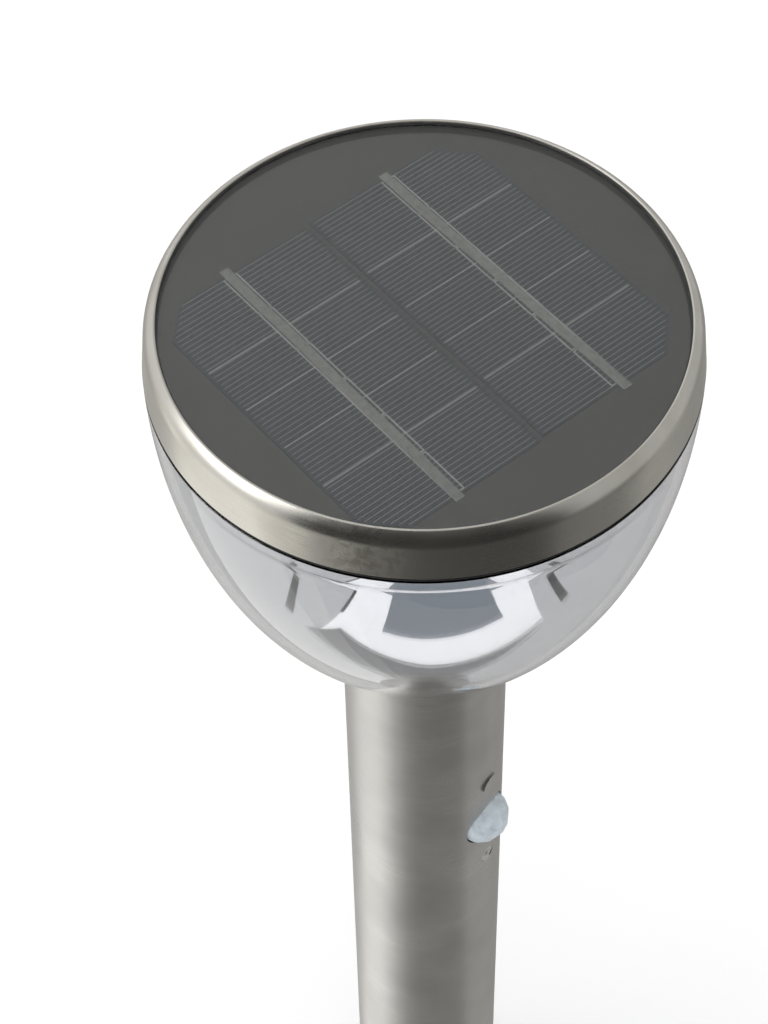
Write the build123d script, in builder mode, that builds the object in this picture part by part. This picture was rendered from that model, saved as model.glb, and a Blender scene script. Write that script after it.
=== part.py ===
from build123d import *
from math import asin, atan2, cos, degrees, radians, sin, sqrt
import os

# Solar garden light: a round solar head lifts off a half-mirror bowl, and the bowl stands on a
# brushed tube post with a motion sensor in its side. Millimetres, +Z up, with the origin at the
# centre of the foot's underside. The sensor faces -Y.

# ---------------------------------------------------------------- driving dimensions
HEIGHT = 600.0  # ground to the top of the rim
RIM_R = 90.0  # outside of the rim's skirt
POST_R = 30.0  # outside of the post tube
POST_WALL = 1.5
BOWL_DROP = 147.6  # height of the quarter ellipse that the bowl's outside follows
BOWL_WALL = 2.4
SHEET = 0.6  # stamped steel of the rim

# Levels of the head, from the top down
LIP_R = 84.5  # inner edge of the rim's lip
LIP_UNDER_Z = HEIGHT - 1.0
SHOULDER_LOW = (88.78, HEIGHT - 5.7)  # where the drafted skirt meets the rim's shoulder
SHOULDER_BEND_R = 7.0
GLASS_TOP_Z = HEIGHT - 1.4
GLASS_T = 3.2
GLASS_R = 85.2
GASKET_WALL = 0.8
CELL_TOP_Z = GLASS_TOP_Z - GLASS_T - 0.2
CELL_T = 0.3
BACKSHEET_T = 0.7
TRAY_TOP_Z = CELL_TOP_Z - CELL_T - BACKSHEET_T
TRAY_T = 2.8
TRAY_UNDER_Z = TRAY_TOP_Z - TRAY_T
SKIRT_Z = GLASS_TOP_Z - 17.0  # lower edge of the rim's skirt
SEAL_T = 1.7
BOWL_TOP_Z = SKIRT_Z - SEAL_T

# Solar cells: two half cells side by side, turned on the disc
ARRAY_TURN = -15.0  # direction of the cells' fingers from +X
ARRAY_WIDTH = 127.0  # along the fingers
ARRAY_LENGTH = 115.0  # along the busbars
ARRAY_SHIFT = (-2.9, -2.3)  # of the array's middle, along the fingers and along the busbars
CELL_CORNER = 11.4
CELL_GAP = 1.8
CELL_STEP = 0.5  # each half cell sits this much off the other, along the busbars
BUSBAR_OFFSET = 32.9
RIBBON_W = 3.6
RIBBON_L = 119.0
RIBBON_T = 0.15

# Bowl, liner and the spigot that plugs into it
LINER_T = 0.8
LINER_COLLAR_R = RIM_R - BOWL_WALL - 0.3
LINER_KINK_Z = (BOWL_TOP_Z - 5.9, BOWL_TOP_Z - 8.9)
LINER_INSET = 0.6
SLIDE_GAP = 0.08  # radial clearance of the push fit
SPIGOT_R = LINER_COLLAR_R - LINER_T - SLIDE_GAP
SPIGOT_WALL = 2.6
SPIGOT_Z = BOWL_TOP_Z - 5.4
O_RING_R = 1.0

# Post, cap and cable
FOOT_R = 62.0
PAD_T = 2.0
FLANGE_T = 5.0
FLANGE_TOP_Z = PAD_T + FLANGE_T
COLLAR_R = 34.0
COLLAR_H = 15.0
ANCHOR_PCD = 98.0
ANCHOR_HOLE_R = 3.5
ANCHOR_COUNT = 3
CABLE_WAY_R = 22.0
BOWL_AXIS_Z = GLASS_TOP_Z - 17.0  # widest level of the bowl's ellipse
BOWL_FLOOR_Z = 441.2
BOWL_FLOOR_T = 3.2
GASKET_T = 1.0
CAP_H = 11.0
CAP_TOP_Z = BOWL_FLOOR_Z - BOWL_FLOOR_T - GASKET_T
CONDUIT_R = 5.0
CONDUIT_WALL = 1.2
BOWL_SCREW_PCD = 36.0

# Motion sensor
SENSOR_Z = 321.8
DOME_R = 11.3
DOME_WALL = 0.9
DOME_Y = -26.0
DOME_FLANGE_R = 13.8
DOME_FLANGE_T = 1.2
DOME_FLANGE_Y = -23.2
SENSOR_SCREW_SPAN = 26.5  # from the dome's centre to each screw
SENSOR_BOARD_T = 1.6
SENSOR_CABLE_R = 1.5

# Electronics in the head
COVER_R = 73.0
COVER_WALL = 2.0
COVER_Z = 566.0
BAY = (15.5, 55.5, 37.5)  # near side, far side and half length of the battery bay
CELL_18650 = (9.2, 65.2)
HINGE_X = 61.5
HINGE_Z = 563.4
HINGE_R = 2.3
PIN_R = 1.2
PLUG_R = 6.5
SOCKET_R = 9.0
SOCKET_Z = (545.0, 562.0)
SOCKET_FLOOR_Z = 552.0
CONTACT_R = 0.5
CONTACT_PCD = 7.0
BOARD_TOP_Z = 585.6
BOARD_T = 1.6
SWITCH_X = -40.0
SWITCH_TRAVEL = 4.0

UP = (Align.CENTER, Align.CENTER, Align.MIN)
DOWN = (Align.CENTER, Align.CENTER, Align.MAX)


def ellipse_angle(semi_height, level):
    """Parametric angle of a bowl ellipse, in degrees, at a level below its widest one."""
    return degrees(asin((level - BOWL_AXIS_Z) / semi_height))


def bowl_curve(semi_radius, semi_height, top, bottom):
    """Elliptical stretch of a bowl wall in the XZ plane, from its top level to its bottom one."""
    start = ellipse_angle(semi_height, top)
    sweep_angle = ellipse_angle(semi_height, bottom) - start
    middle = (0, BOWL_AXIS_Z)
    return EllipticalCenterArc(middle, semi_radius, semi_height, start, arc_size=sweep_angle)


def ring_profile(inner, outer, low, high):
    """Rectangle of a ring's section, drawn in the XZ plane."""
    with Locations(((inner + outer) / 2, (low + high) / 2)):
        Rectangle(outer - inner, high - low)


def facing_front(y, z):
    """Plane at a point on the sensor's side of the post, looking out along -Y."""
    return Plane(origin=(0, y, z), x_dir=(1, 0, 0), z_dir=(0, -1, 0))


def anchor_places():
    """Places of the anchor holes round the foot."""
    return PolarLocations(ANCHOR_PCD / 2, ANCHOR_COUNT, start_angle=90)


def bowl_screw_places():
    """Places of the screws that hold the bowl to the post's cap."""
    return PolarLocations(BOWL_SCREW_PCD / 2, 3, start_angle=30)


cover_screw_points = [(0, 64), (0, -64), (-66, 0)]
board_screw_points = [(x, y) for x in (-58, -20) for y in (-28, 28)]
sensor_screw_levels = [SENSOR_Z - SENSOR_SCREW_SPAN, SENSOR_Z + SENSOR_SCREW_SPAN]

# ---------------------------------------------------------------- foot and post
with BuildPart() as foot_pad:
    with BuildSketch():
        Circle(FOOT_R - 0.5)
        Circle(CABLE_WAY_R + 2, mode=Mode.SUBTRACT)
        with anchor_places():
            Circle(ANCHOR_HOLE_R + 1, mode=Mode.SUBTRACT)
    extrude(amount=PAD_T)

with BuildPart() as base_flange:
    with BuildSketch(Plane.XY.offset(PAD_T)):
        Circle(FOOT_R)
        Circle(CABLE_WAY_R, mode=Mode.SUBTRACT)
    extrude(amount=FLANGE_T)
    plate_rim = base_flange.edges().filter_by(GeomType.CIRCLE).group_by(Axis.Z)[-1].sort_by(SortBy.RADIUS)
    fillet(plate_rim[-1], radius=2.0)
    with BuildSketch(Plane.XY.offset(FLANGE_TOP_Z)):
        Circle(COLLAR_R)
        Circle(POST_R + 0.05, mode=Mode.SUBTRACT)
    extrude(amount=COLLAR_H)
    collar_rim = base_flange.edges().filter_by(GeomType.CIRCLE).group_by(Axis.Z)[-1].sort_by(SortBy.RADIUS)
    fillet(collar_rim[-1], radius=1.2)
    with Locations((0, 0, FLANGE_TOP_Z)):
        with anchor_places():
            Hole(ANCHOR_HOLE_R, depth=FLANGE_T)
    with Locations(Plane.XY.offset(FLANGE_TOP_Z + COLLAR_H / 2)):
        with PolarLocations(COLLAR_R + 2, 3, start_angle=30):
            Cylinder(2.5, 7.0, rotation=(0, -90, 0), align=UP, mode=Mode.SUBTRACT)

with BuildPart() as collar_screws:
    with Locations(Plane.XY.offset(FLANGE_TOP_Z + COLLAR_H / 2)):
        with PolarLocations(COLLAR_R - 0.6, 3, start_angle=30):
            Cylinder(2.5, 3.3, rotation=(0, -90, 0), align=UP)
            Cylinder(1.3, 1.8, rotation=(0, -90, 0), align=UP, mode=Mode.SUBTRACT)

POST_TOP_Z = BOWL_AXIS_Z - BOWL_DROP * sqrt(1 - (POST_R / RIM_R) ** 2)  # the bowl is as wide as the post
with BuildPart() as post_tube:
    with BuildSketch(Plane.XY.offset(FLANGE_TOP_Z)):
        Circle(POST_R)
        Circle(POST_R - POST_WALL, mode=Mode.SUBTRACT)
    extrude(amount=POST_TOP_Z - FLANGE_TOP_Z)
    with Locations(facing_front(-POST_R - 2, SENSOR_Z)):
        Hole(DOME_R + 0.3, depth=12)
    with Locations(*[facing_front(-POST_R, level) for level in sensor_screw_levels]):
        CounterSinkHole(2.2, 3.9, depth=4, counter_sink_angle=90)

with BuildPart() as post_cap:
    with BuildSketch(Plane.XY.offset(CAP_TOP_Z - CAP_H)):
        Circle(POST_R - POST_WALL - 0.05)
    extrude(amount=CAP_H)
    with BuildSketch(Plane.XY.offset(CAP_TOP_Z - CAP_H)):
        Circle(POST_R - 7)
        Circle(CONDUIT_R + 3, mode=Mode.SUBTRACT)
        with bowl_screw_places():
            Circle(4.5, mode=Mode.SUBTRACT)
    extrude(amount=CAP_H - 4, mode=Mode.SUBTRACT)
    with Locations((0, 0, CAP_TOP_Z)):
        Hole(CONDUIT_R + 0.05, depth=CAP_H)
        with bowl_screw_places():
            Hole(2.0, depth=CAP_H)

with BuildPart() as bowl_gasket:
    with BuildSketch(Plane.XY.offset(CAP_TOP_Z)):
        Circle(POST_R - POST_WALL - 1)
        Circle(CONDUIT_R + 1, mode=Mode.SUBTRACT)
        with bowl_screw_places():
            Circle(2.5, mode=Mode.SUBTRACT)
    extrude(amount=GASKET_T)

# ---------------------------------------------------------------- bowl and its half-mirror liner
STUB_R = POST_R - POST_WALL - 0.1
FLOOR_EDGE_R = 26.0
INNER_FOOT_Z = BOWL_FLOOR_Z + 4.8
INNER_R = RIM_R - BOWL_WALL
INNER_DROP = BOWL_DROP - BOWL_WALL
with BuildPart() as bowl:
    with BuildSketch(Plane.XZ):
        with BuildLine():
            outside = bowl_curve(RIM_R, BOWL_DROP, BOWL_TOP_Z, POST_TOP_Z)
            inside = bowl_curve(INNER_R, INNER_DROP, BOWL_TOP_Z, INNER_FOOT_Z)
            Polyline(
                outside @ 1,
                (STUB_R, POST_TOP_Z),
                (STUB_R, CAP_TOP_Z + GASKET_T),
                (CONDUIT_R + 0.1, CAP_TOP_Z + GASKET_T),
                (CONDUIT_R + 0.1, BOWL_FLOOR_Z),
                (FLOOR_EDGE_R, BOWL_FLOOR_Z),
                inside @ 1,
            )
            Line(inside @ 0, outside @ 0)
        make_face()
    revolve(axis=Axis.Z)
    with Locations((0, 0, BOWL_FLOOR_Z)):
        with bowl_screw_places():
            Hole(2.2, depth=BOWL_FLOOR_T)

with BuildPart() as bowl_screws:
    with BuildSketch(Plane.XY.offset(CAP_TOP_Z - 8)):
        with bowl_screw_places():
            Circle(2.0)
    extrude(amount=BOWL_FLOOR_Z - CAP_TOP_Z + 8)
    with BuildSketch(Plane.XY.offset(BOWL_FLOOR_Z)):
        with bowl_screw_places():
            Circle(3.8)
    extrude(amount=2.6)

LINER_FLOOR_Z = 451.0
LINER_OUT_R = LINER_COLLAR_R - LINER_INSET
LINER_OUT_DROP = BOWL_DROP - BOWL_WALL - LINER_INSET - 0.3
kink_top, kink_low = LINER_KINK_Z
with BuildPart() as mirror_liner:
    with BuildSketch(Plane.XZ):
        with BuildLine():
            outside = bowl_curve(LINER_OUT_R, LINER_OUT_DROP, kink_low, LINER_FLOOR_Z)
            inside = bowl_curve(
                LINER_OUT_R - LINER_T, LINER_OUT_DROP - LINER_T, kink_low + 0.2, LINER_FLOOR_Z + LINER_T
            )
            Polyline(
                outside @ 0,
                (LINER_COLLAR_R, kink_top),
                (LINER_COLLAR_R, BOWL_TOP_Z - 0.5),
                (LINER_COLLAR_R - LINER_T, BOWL_TOP_Z - 0.5),
                (LINER_COLLAR_R - LINER_T, kink_top + 0.2),
                inside @ 0,
            )
            Polyline(
                outside @ 1,
                (CONDUIT_R + 0.4, LINER_FLOOR_Z),
                (CONDUIT_R + 0.4, LINER_FLOOR_Z + LINER_T),
                inside @ 1,
            )
        make_face()
    revolve(axis=Axis.Z)

# ---------------------------------------------------------------- conduit, socket and sensor cable
with BuildPart() as cable_tube:
    with BuildSketch(Plane.XY.offset(CAP_TOP_Z - 7)):
        Circle(CONDUIT_R)
        Circle(CONDUIT_R - CONDUIT_WALL, mode=Mode.SUBTRACT)
    extrude(amount=SOCKET_Z[0] + 3 - CAP_TOP_Z + 7)

with BuildPart() as post_socket:
    with BuildSketch(Plane.XZ):
        with BuildLine():
            Polyline(
                (SENSOR_CABLE_R + 0.3, SOCKET_Z[0] + 3),
                (CONDUIT_R, SOCKET_Z[0] + 3),
                (CONDUIT_R, SOCKET_Z[0]),
                (SOCKET_R - 1, SOCKET_Z[0]),
                (SOCKET_R, SOCKET_Z[0] + 1),
                (SOCKET_R, SOCKET_Z[1]),
                (PLUG_R + 0.05, SOCKET_Z[1]),
                (PLUG_R + 0.05, SOCKET_FLOOR_Z),
                (SENSOR_CABLE_R + 0.3, SOCKET_FLOOR_Z),
                close=True,
            )
        make_face()
    revolve(axis=Axis.Z)
    with Locations((0, 0, SOCKET_FLOOR_Z)):
        with PolarLocations(CONTACT_PCD / 2, 4, start_angle=45):
            Hole(CONTACT_R, depth=3)

with BuildPart() as socket_pins:
    with Locations((0, 0, SOCKET_FLOOR_Z - 3)):
        with PolarLocations(CONTACT_PCD / 2, 4, start_angle=45):
            Cylinder(CONTACT_R, 10, align=UP)

SENSOR_BOARD_Y = DOME_FLANGE_Y + SENSOR_BOARD_T
CABLE_BEND_R = 15.0
with BuildPart() as sensor_cable:
    with BuildLine():
        route = FilletPolyline(
            (0, SENSOR_BOARD_Y, SENSOR_Z),
            (0, 0, SENSOR_Z),
            (0, 0, SOCKET_FLOOR_Z - 0.5),
            radius=CABLE_BEND_R,
        )
    with BuildSketch(Plane(origin=route @ 0, z_dir=route % 0)):
        Circle(SENSOR_CABLE_R)
    sweep()
print("sensor cable", round(route.length, 1), "mm, bend radius", CABLE_BEND_R)

# ---------------------------------------------------------------- motion sensor
with BuildPart() as sensor_holder:
    with BuildSketch(Plane.XY.offset(SENSOR_Z - 36)):
        Circle(POST_R - POST_WALL - 0.1)
        with Locations((0, -21)):
            Rectangle(30, 15, mode=Mode.INTERSECT)
    extrude(amount=72)
    with Locations(facing_front(-POST_R, SENSOR_Z)):
        Hole(DOME_FLANGE_R + 0.2, depth=POST_R + SENSOR_BOARD_Y)
        Hole(SENSOR_CABLE_R + 3.5, depth=20)
    with Locations(*[facing_front(-POST_R, level) for level in sensor_screw_levels]):
        Hole(2.0, depth=12)

with BuildPart() as sensor_dome:
    with BuildSketch(Plane.XY):
        with BuildLine():
            outside = CenterArc((0, DOME_Y), DOME_R, -90, 90)
            inside = CenterArc((0, DOME_Y), DOME_R - DOME_WALL, -90, 90)
            Line(outside @ 0, inside @ 0)
            Polyline(
                outside @ 1,
                (DOME_R, DOME_FLANGE_Y - DOME_FLANGE_T),
                (DOME_FLANGE_R, DOME_FLANGE_Y - DOME_FLANGE_T),
                (DOME_FLANGE_R, DOME_FLANGE_Y),
                (DOME_R - DOME_WALL, DOME_FLANGE_Y),
                inside @ 1,
            )
        make_face()
    revolve(axis=Axis.Y)
sensor_dome.part.position = (0, 0, SENSOR_Z)

with BuildPart() as sensor_board:
    with BuildSketch(facing_front(SENSOR_BOARD_Y, SENSOR_Z)):
        Circle(DOME_FLANGE_R - 0.3)
    extrude(amount=SENSOR_BOARD_T)

with BuildPart() as sensor_can:
    with BuildSketch(facing_front(DOME_FLANGE_Y, SENSOR_Z)):
        Circle(4.6)
    extrude(amount=4.2)
    with BuildSketch(facing_front(DOME_FLANGE_Y - 4.2, SENSOR_Z)):
        Rectangle(3.9, 3.0)
    extrude(amount=-0.3, mode=Mode.SUBTRACT)

HEAD_FACE_Y = -POST_R + 0.35
with BuildPart() as sensor_screws:
    with Locations(*[facing_front(HEAD_FACE_Y, level) for level in sensor_screw_levels]):
        Cone(2.2, 3.45, 1.25, align=DOWN)
        with Locations((0, 0, -1.25)):
            Cylinder(2.0, 9, align=DOWN)
        Box(3.6, 0.8, 1.0, align=DOWN, mode=Mode.SUBTRACT)
        Box(0.8, 3.6, 1.0, align=DOWN, mode=Mode.SUBTRACT)

# ---------------------------------------------------------------- rim, glass and solar cells
SKIRT_RISE = (SHOULDER_LOW[0] - RIM_R, SHOULDER_LOW[1] - SKIRT_Z)
SHOULDER_TURN = 135 - degrees(atan2(SKIRT_RISE[1], SKIRT_RISE[0]))  # the lip then slopes at 45 degrees
with BuildPart() as rim_ring:
    with BuildSketch(Plane.XZ):
        with BuildLine():
            Line((RIM_R, SKIRT_Z), SHOULDER_LOW)
            outside = JernArc(SHOULDER_LOW, SKIRT_RISE, SHOULDER_BEND_R, SHOULDER_TURN)
            Polyline(
                outside @ 1,
                (LIP_R + 1.0, HEIGHT - 0.16),
                (LIP_R + 0.75, HEIGHT - 0.03),
                (LIP_R + 0.55, HEIGHT),
                (LIP_R + 0.3, HEIGHT - 0.05),
                (LIP_R + 0.05, HEIGHT - 0.25),
                (LIP_R, HEIGHT - 0.45),
                (LIP_R, LIP_UNDER_Z),
            )
            inner_start = (SHOULDER_LOW[0] - SHEET, SHOULDER_LOW[1])
            inside = JernArc(inner_start, SKIRT_RISE, SHOULDER_BEND_R - SHEET, SHOULDER_TURN)
            bend_end = inside @ 1
            lip_under_edge = (bend_end.X - (LIP_UNDER_Z - bend_end.Y), LIP_UNDER_Z)
            Polyline((LIP_R, LIP_UNDER_Z), lip_under_edge, bend_end)
            Polyline(inner_start, (RIM_R - SHEET, SKIRT_Z), (RIM_R, SKIRT_Z))
        make_face()
    revolve(axis=Axis.Z)

with BuildPart() as cover_glass:
    with BuildSketch(Plane.XY.offset(GLASS_TOP_Z - GLASS_T)):
        Circle(GLASS_R)
    extrude(amount=GLASS_T)
    chamfer(cover_glass.edges().filter_by(GeomType.CIRCLE), length=0.4)

with BuildPart() as glass_gasket:
    with BuildSketch(Plane.XZ):
        with BuildLine():
            Polyline(
                (GLASS_R, TRAY_TOP_Z),
                (GLASS_R + GASKET_WALL, TRAY_TOP_Z),
                (GLASS_R + GASKET_WALL, GLASS_TOP_Z - 0.25),
                (GLASS_R + 0.2, LIP_UNDER_Z),
                (LIP_R - 0.5, LIP_UNDER_Z),
                (LIP_R - 0.5, GLASS_TOP_Z),
                (GLASS_R, GLASS_TOP_Z),
                close=True,
            )
        make_face()
    revolve(axis=Axis.Z)

finger_direction = (cos(radians(ARRAY_TURN)), sin(radians(ARRAY_TURN)), 0)
array_turned = Plane(origin=(0, 0, 0), x_dir=finger_direction, z_dir=(0, 0, 1))
array_middle = array_turned.from_local_coords((*ARRAY_SHIFT, 0))
array_plane = Plane(origin=array_middle, x_dir=finger_direction, z_dir=(0, 0, 1))

with BuildPart() as backsheet:
    with BuildSketch(Plane.XY.offset(TRAY_TOP_Z)):
        Circle(GLASS_R - 0.2)
    extrude(amount=BACKSHEET_T)

half_width = (ARRAY_WIDTH - CELL_GAP) / 2
half_cells = {}
for name, side in (("solar_cell_a", -1), ("solar_cell_b", 1)):
    with BuildPart() as cell:
        with BuildSketch(array_plane.offset(CELL_TOP_Z - CELL_T)):
            with Locations((side * (half_width + CELL_GAP) / 2, side * CELL_STEP)):
                Rectangle(half_width, ARRAY_LENGTH)
        extrude(amount=CELL_T)
        outer_face = cell.faces().sort_by(Axis(array_plane.origin, array_plane.x_dir * side))[-1]
        chamfer(outer_face.edges().filter_by(Axis.Z), length=CELL_CORNER)
    half_cells[name] = cell

with BuildPart() as busbar_ribbons:
    with BuildSketch(array_plane.offset(CELL_TOP_Z)):
        with Locations((-BUSBAR_OFFSET, 0), (BUSBAR_OFFSET, 0)):
            Rectangle(RIBBON_W, RIBBON_L)
    extrude(amount=RIBBON_T)

# ---------------------------------------------------------------- tray that carries the head
TRAY_R = RIM_R - SHEET - 0.1
TRAY_TOP_R = SHOULDER_LOW[0] - SHEET - 0.18
SPIGOT_IN_R = SPIGOT_R - SPIGOT_WALL
O_RING_Z = (SPIGOT_Z + BOWL_TOP_Z) / 2
LEAD_POINTS = [(-24, -8), (-24, 8)]
with BuildPart() as head_tray:
    with BuildSketch(Plane.XZ):
        with BuildLine():
            Polyline(
                (0, TRAY_UNDER_Z),
                (0, TRAY_TOP_Z),
                (TRAY_TOP_R, TRAY_TOP_Z),
                (TRAY_R, SKIRT_Z),
                (SPIGOT_R, SKIRT_Z),
                (SPIGOT_R, SPIGOT_Z + 0.6),
                (SPIGOT_R - 0.6, SPIGOT_Z),
                (SPIGOT_IN_R, SPIGOT_Z),
                (SPIGOT_IN_R, TRAY_UNDER_Z),
                close=True,
            )
        make_face()
    revolve(axis=Axis.Z)
    with BuildSketch(Plane.XZ):
        ring_profile(SPIGOT_R - 2.0, SPIGOT_R, O_RING_Z - O_RING_R, O_RING_Z + O_RING_R)
    revolve(axis=Axis.Z, mode=Mode.SUBTRACT)
    with Locations((0, 0, TRAY_UNDER_Z)):
        with Locations(*cover_screw_points):
            Cylinder(3.2, TRAY_UNDER_Z - COVER_Z - COVER_WALL, align=DOWN)
        with Locations(*board_screw_points):
            Cylinder(3.0, TRAY_UNDER_Z - BOARD_TOP_Z, align=DOWN)
    with Locations((0, 0, COVER_Z + COVER_WALL)):
        with Locations(*cover_screw_points):
            Hole(1.5, depth=14)
    with Locations((0, 0, BOARD_TOP_Z)):
        with Locations(*board_screw_points):
            Hole(1.25, depth=4)
    with Locations((0, 0, TRAY_TOP_Z)):
        with Locations(*LEAD_POINTS):
            Hole(1.0, depth=TRAY_T)

with BuildPart() as spigot_seal:
    with Locations((0, 0, O_RING_Z)):
        Torus(SPIGOT_R + 0.02 - O_RING_R, O_RING_R)

with BuildPart() as rim_seal:
    with BuildSketch(Plane.XZ):
        ring_profile(SPIGOT_R + 0.1, RIM_R - 0.3, BOWL_TOP_Z, SKIRT_Z)
    revolve(axis=Axis.Z)

# ---------------------------------------------------------------- light ring under the head
LED_RING = (75.2, 82.2)
LED_COUNT = 12
LENS_Z = BOWL_TOP_Z + 0.1
with BuildPart() as led_board:
    with BuildSketch(Plane.XY.offset(TRAY_UNDER_Z - BOARD_T)):
        Circle(LED_RING[1])
        Circle(LED_RING[0], mode=Mode.SUBTRACT)
    extrude(amount=BOARD_T)

with BuildPart() as leds:
    with Locations((0, 0, TRAY_UNDER_Z - BOARD_T)):
        with PolarLocations(sum(LED_RING) / 2, LED_COUNT):
            Box(3.0, 3.0, 1.4, align=DOWN)

with BuildPart() as led_lens:
    with BuildSketch(Plane.XZ):
        ring_profile(LED_RING[0] - 1.5, LED_RING[1] + 1.4, LENS_Z, LENS_Z + 1.4)
        ring_profile(LED_RING[0] - 1.5, LED_RING[0] - 0.4, LENS_Z, TRAY_UNDER_Z)
        ring_profile(LED_RING[1] + 0.4, LED_RING[1] + 1.4, LENS_Z, TRAY_UNDER_Z)
    revolve(axis=Axis.Z)

# ---------------------------------------------------------------- electronics and their cover
bay_near, bay_far, bay_half = BAY
bay_mid = (bay_near + bay_far) / 2
bay_width = bay_far - bay_near
COVER_FLOOR_Z = COVER_Z + COVER_WALL
with BuildPart() as head_cover:
    with BuildSketch(Plane.XY.offset(COVER_Z)):
        Circle(COVER_R)
    extrude(amount=TRAY_UNDER_Z - COVER_Z)
    with BuildSketch(Plane.XY.offset(COVER_FLOOR_Z)):
        Circle(COVER_R - COVER_WALL)
    extrude(amount=TRAY_UNDER_Z - COVER_FLOOR_Z, mode=Mode.SUBTRACT)
    with BuildSketch(Plane.XY.offset(COVER_Z)):
        with Locations((bay_mid, 0)):
            Rectangle(bay_width, 2 * bay_half)
        with Locations((SWITCH_X, 0)):
            Rectangle(3.6, 7.8)
        Circle(6.1)
        with Locations(*cover_screw_points):
            Circle(1.6)
    extrude(amount=COVER_WALL, mode=Mode.SUBTRACT)
    with Locations((HINGE_X, 25.2, HINGE_Z), (HINGE_X, -25.2, HINGE_Z)):
        Cylinder(HINGE_R, 5.6, rotation=(90, 0, 0))
        Box(2 * HINGE_R, 5.6, COVER_Z - HINGE_Z, align=UP)
    with Locations((HINGE_X, 0, HINGE_Z)):
        Cylinder(PIN_R, 2 * bay_half, rotation=(90, 0, 0), mode=Mode.SUBTRACT)

with BuildPart() as door_pin:
    with Locations((HINGE_X, 0, HINGE_Z)):
        Cylinder(PIN_R, 56, rotation=(90, 0, 0))

DOOR_Z = (HINGE_Z + 0.2, HINGE_Z + HINGE_R)
with BuildPart() as battery_door:
    with BuildSketch(Plane.XY.offset(DOOR_Z[0])):
        with Locations(((bay_near - 2 + HINGE_X - 2.7) / 2, 0)):
            RectangleRounded(HINGE_X - 2.7 - bay_near + 2, 77, 1.5)
        with Locations(((bay_near - 4 + HINGE_X) / 2, 0)):
            Rectangle(HINGE_X - bay_near + 4, 12)
        with Locations((HINGE_X - 2.5, 0)):
            Rectangle(5, 43)
    extrude(amount=DOOR_Z[1] - DOOR_Z[0])
    with Locations((HINGE_X, 0, HINGE_Z)):
        Cylinder(HINGE_R, 43, rotation=(90, 0, 0))
        Cylinder(PIN_R + 0.06, 50, rotation=(90, 0, 0), mode=Mode.SUBTRACT)
    with Locations((bay_near - 1, 0, DOOR_Z[0])):
        with GridLocations(3, 1, 3, 1):
            Box(0.8, 11, 0.5, align=UP, mode=Mode.SUBTRACT)

cell_r, cell_length = CELL_18650
CELL_Z = COVER_FLOOR_Z + 1.6 + cell_r
CELL_PITCH = 19.4
HOLDER_TOP_Z = TRAY_UNDER_Z - 0.6
with BuildPart() as battery_holder:
    with BuildSketch(Plane.XY.offset(COVER_FLOOR_Z)):
        with Locations((bay_mid, 0)):
            Rectangle(bay_width + 3, 2 * bay_half + 3)
    extrude(amount=HOLDER_TOP_Z - COVER_FLOOR_Z)
    with BuildSketch(Plane.XY.offset(COVER_FLOOR_Z)):
        with Locations((bay_mid, 0)):
            Rectangle(bay_width, 2 * bay_half)
    extrude(amount=CELL_Z + cell_r + 0.4 - COVER_FLOOR_Z, mode=Mode.SUBTRACT)

with BuildPart() as battery_cells:
    with Locations((bay_mid, 0, CELL_Z)):
        with GridLocations(CELL_PITCH, 1, 2, 1):
            Cylinder(cell_r, cell_length, rotation=(90, 0, 0))

with BuildPart() as battery_contacts:
    for end in (-1, 1):
        gap = bay_half - cell_length / 2
        with Locations(Plane(origin=(bay_mid, end * bay_half, CELL_Z), x_dir=(1, 0, 0), z_dir=(0, -end, 0))):
            with GridLocations(CELL_PITCH, 1, 2, 1):
                Box(9, 9, 0.4, align=UP)
                Cone(3.6, 2.2, gap, align=UP)

with BuildPart() as control_board:
    with BuildSketch(Plane.XY.offset(BOARD_TOP_Z - BOARD_T)):
        with Locations((-39, 0)):
            RectangleRounded(46, 64, 2)
        with Locations(*board_screw_points):
            Circle(1.4, mode=Mode.SUBTRACT)
    extrude(amount=BOARD_T)

BOARD_UNDER_Z = BOARD_TOP_Z - BOARD_T
with BuildPart() as board_screws:
    with Locations((0, 0, BOARD_UNDER_Z)):
        with Locations(*board_screw_points):
            Cylinder(2.4, 1.6, align=DOWN)
            Cylinder(1.25, BOARD_T + 3.5, align=UP)

TERMINAL_X = -17.0
TERMINAL_Z = 580.5
with BuildPart() as board_parts:
    with Locations((TERMINAL_X, 0, BOARD_UNDER_Z), (TERMINAL_X, -16, BOARD_UNDER_Z)):
        Box(8, 9, 7, align=(Align.MAX, Align.CENTER, Align.MAX))
    with Locations((-50, 14, BOARD_UNDER_Z)):
        Box(6, 10, 1.8, align=DOWN)
    with Locations((-50, -14, BOARD_UNDER_Z)):
        Box(10, 10, 4.2, align=DOWN)
    with Locations((-32, 16, BOARD_UNDER_Z), (-32, -18, BOARD_UNDER_Z)):
        Cylinder(3.2, 7.5, align=DOWN)

with BuildPart() as switch_body:
    with Locations((SWITCH_X, 0, BOARD_UNDER_Z)):
        Box(6.4, 12, 8, align=DOWN)
    with Locations((SWITCH_X, 0, BOARD_UNDER_Z - 8)):
        Box(3.4, 7.6, 4.5, align=UP, mode=Mode.SUBTRACT)

KNOB_Z = COVER_Z - 0.2
with BuildPart() as switch_knob:
    with Locations((SWITCH_X, -SWITCH_TRAVEL / 2, KNOB_Z)):
        Box(5.0, 5.0, 2.2, align=DOWN)
        Box(3.0, 3.0, BOARD_UNDER_Z - 5 - KNOB_Z, align=UP)
    with Locations((SWITCH_X, -SWITCH_TRAVEL / 2, KNOB_Z - 2.2)):
        with GridLocations(1, 1.2, 1, 3):
            Box(5.0, 0.5, 0.4, align=UP, mode=Mode.SUBTRACT)

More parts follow.
